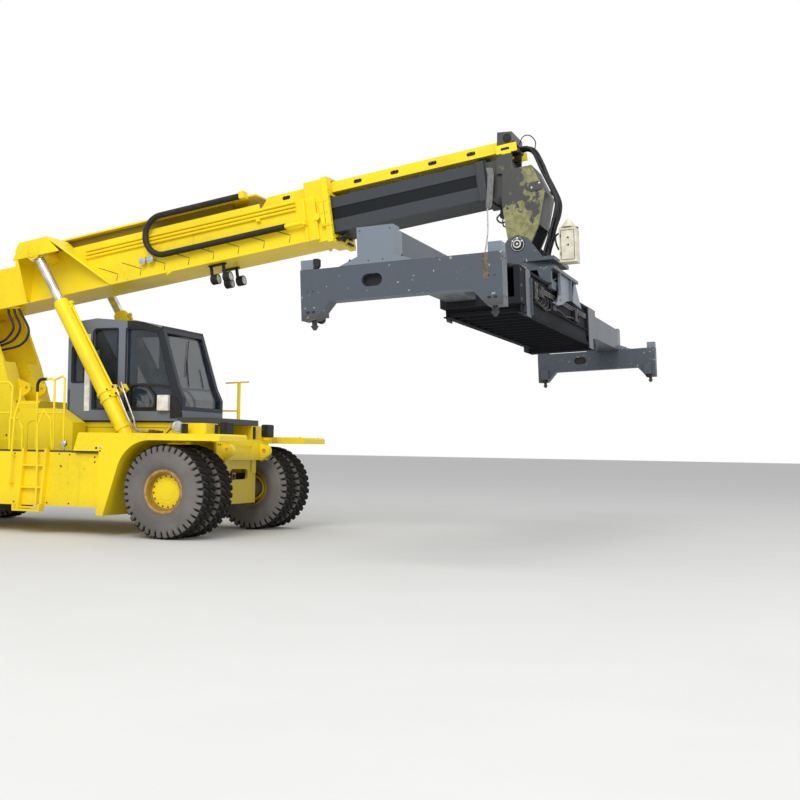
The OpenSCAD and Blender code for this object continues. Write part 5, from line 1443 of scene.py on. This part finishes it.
# %% [markdown]
# ## Lamp box on the spreader
# Beside the slew ring stands a cream box with signal lamps. Black bands, feet, screws and a ring round
# the beacon mark its joints, and one bent cable runs up beside it. A bead along a rounded outline,
# the same function as the window seals, makes the bands.

# %% Lamp box on the spreader
box = Piece("beacon_trim", black, "yoke", on_spreader)
box.add(turned([(150, 257), (160, 260), (160, 268), (150, 272)], 40, "z", (760, 0, 0)))
box.add(frame_tube(rounded([(650, -270), (650, 215), (870, 215), (870, -270)], 20), -141, 4), both=True)
for z in ((-200, -140), (90, 150)):
    box.add(slab((640, 655), (-150, -139), z, 3), both=True)
for z in (90, -30):
    box.add(turned([(14, -140), (14, -148), (1, -149)], 16, at=(770, 0, z)), both=True)
bend = [(610, -120, -100), (575, -140, 0), (560, -120, 120), (600, -60, 180), (622, -20, 160)]
box.add(tube(line(bend, 6), 16, 8)).done()
print("scene adds", sum(MADE.values()), "triangles in", len(MADE), "pieces")

# %% [markdown]
# ## Floor
# A wide pale floor lies under the machine, takes its shadow and ends far behind it.

# %% Floor
floor_mesh = bpy.data.meshes.new("floor")
floor_mesh.from_pydata([(-400, -400, 0), (400, -400, 0), (400, 400, 0), (-400, 400, 0)], [], [(0, 1, 2, 3)])
floor = bpy.data.objects.new("floor", floor_mesh)
bpy.context.scene.collection.objects.link(floor)
floor_mat = plain("floor_finish", srgb(216, 215, 212), srgb(214, 213, 210), 0.6, 0.9, 0.02, bump=0.0)
floor_mesh.materials.append(floor_mat.material)
print("floor:", floor.name)

# %% [markdown]
# ## Lamps
# Outdoors one hard sun hides half of a machine in shadow. Here it stands in a studio instead: a large
# disc high on the camera's side lights the faces that the camera sees, with soft edges, and a dimmer
# one in front opens the shadows under the fenders. Their power is set so that a colour renders about
# as it is written.

# %% Lamps
def area_light(name, place, target, size, power):
    """A disc lamp at a place, turned to look at the target, its size in metres and power in watts."""
    data = bpy.data.lights.new(name, "AREA")
    data.shape, data.size, data.energy = "DISK", size, power
    lamp = bpy.data.objects.new(name, data)
    bpy.context.scene.collection.objects.link(lamp)
    lamp.location = place
    from_to = np.subtract(target, place)
    lamp.rotation_euler = (math.pi - math.acos(from_to[2] / np.linalg.norm(from_to)), 0,
                           math.atan2(from_to[1], from_to[0]) - math.pi / 2)


area_light("key", place=(6, -30, 26), target=(0, 0, 2), size=22, power=7600)
area_light("fill", place=(30, -10, 14), target=(2, 0, 2), size=20, power=2200)
print("lamps:", [lamp.name for lamp in bpy.data.lights])

# %% [markdown]
# ## Sky
# The sky lights the machine from all round at 0.65, slightly blue. To the camera, and to rays that
# were mirrored or passed through glass, it is plain white instead, so the panes and the chrome show
# the same white as the background. More light on the machine would whiten the sky too, but would
# bleach its paint.

# %% Sky
world = bpy.data.worlds.new("sky")
bpy.context.scene.world = world
world.use_nodes = True
wt = world.node_tree
wt.nodes.clear()
out = wt.nodes.new("ShaderNodeOutputWorld")
seen = wt.nodes.new("ShaderNodeBackground")
seen.inputs["Color"].default_value = (1, 1, 1, 1)
seen.inputs["Strength"].default_value = 1.0
lit = wt.nodes.new("ShaderNodeBackground")
lit.inputs["Color"].default_value = (0.95, 0.97, 1, 1)
lit.inputs["Strength"].default_value = 0.65
path = wt.nodes.new("ShaderNodeLightPath")
mixed = wt.nodes.new("ShaderNodeMixShader")
either = wt.nodes.new("ShaderNodeMath")
either.operation = "MAXIMUM"
wt.links.new(path.outputs["Is Camera Ray"], either.inputs[0])
wt.links.new(path.outputs["Is Transmission Ray"], either.inputs[1])
either_glossy = wt.nodes.new("ShaderNodeMath")
either_glossy.operation = "MAXIMUM"
wt.links.new(either.outputs[0], either_glossy.inputs[0])
wt.links.new(path.outputs["Is Glossy Ray"], either_glossy.inputs[1])
wt.links.new(either_glossy.outputs[0], mixed.inputs[0])
wt.links.new(lit.outputs[0], mixed.inputs[1])
wt.links.new(seen.outputs[0], mixed.inputs[2])
wt.links.new(mixed.outputs[0], out.inputs["Surface"])
print("sky:", len(wt.nodes), "nodes")

# %% [markdown]
# ## Camera
# The camera stands where the photo was taken from. Its place, angles and lens were fitted by least
# squares to edges of known length, so these numbers are used as they are. It is 1.52 m up, at eye
# height, and looks up by 1.6 degrees. Three vectors (ahead, aside, up) build its turn, which is easier
# to check than three angles in a row.

# %% Camera
YAW, PITCH, ROLL = math.radians(20.52), math.radians(1.59), math.radians(1.0)
LENS_MM, SHIFT_UP = 52.175, 0.025
camera = bpy.data.objects.new("camera", bpy.data.cameras.new("camera"))
bpy.context.scene.collection.objects.link(camera)
camera.location = (10.830, -18.697, 1.521)
view = np.array([-math.sin(YAW) * math.cos(PITCH), math.cos(YAW) * math.cos(PITCH), math.sin(PITCH)])
side = np.cross(view, (0, 0, 1))
side /= np.linalg.norm(side)
up = np.cross(side, view)
side, up = side * math.cos(ROLL) + up * math.sin(ROLL), up * math.cos(ROLL) - side * math.sin(ROLL)
camera.rotation_euler = Matrix(np.column_stack([side, up, -view]).tolist()).to_euler()
camera.data.sensor_width = 36
camera.data.lens = LENS_MM
camera.data.shift_y = SHIFT_UP
camera.data.clip_end = 2000
bpy.context.scene.camera = camera
bpy.context.scene.view_settings.view_transform = "Standard"
print("camera at", tuple(round(v, 3) for v in camera.location))
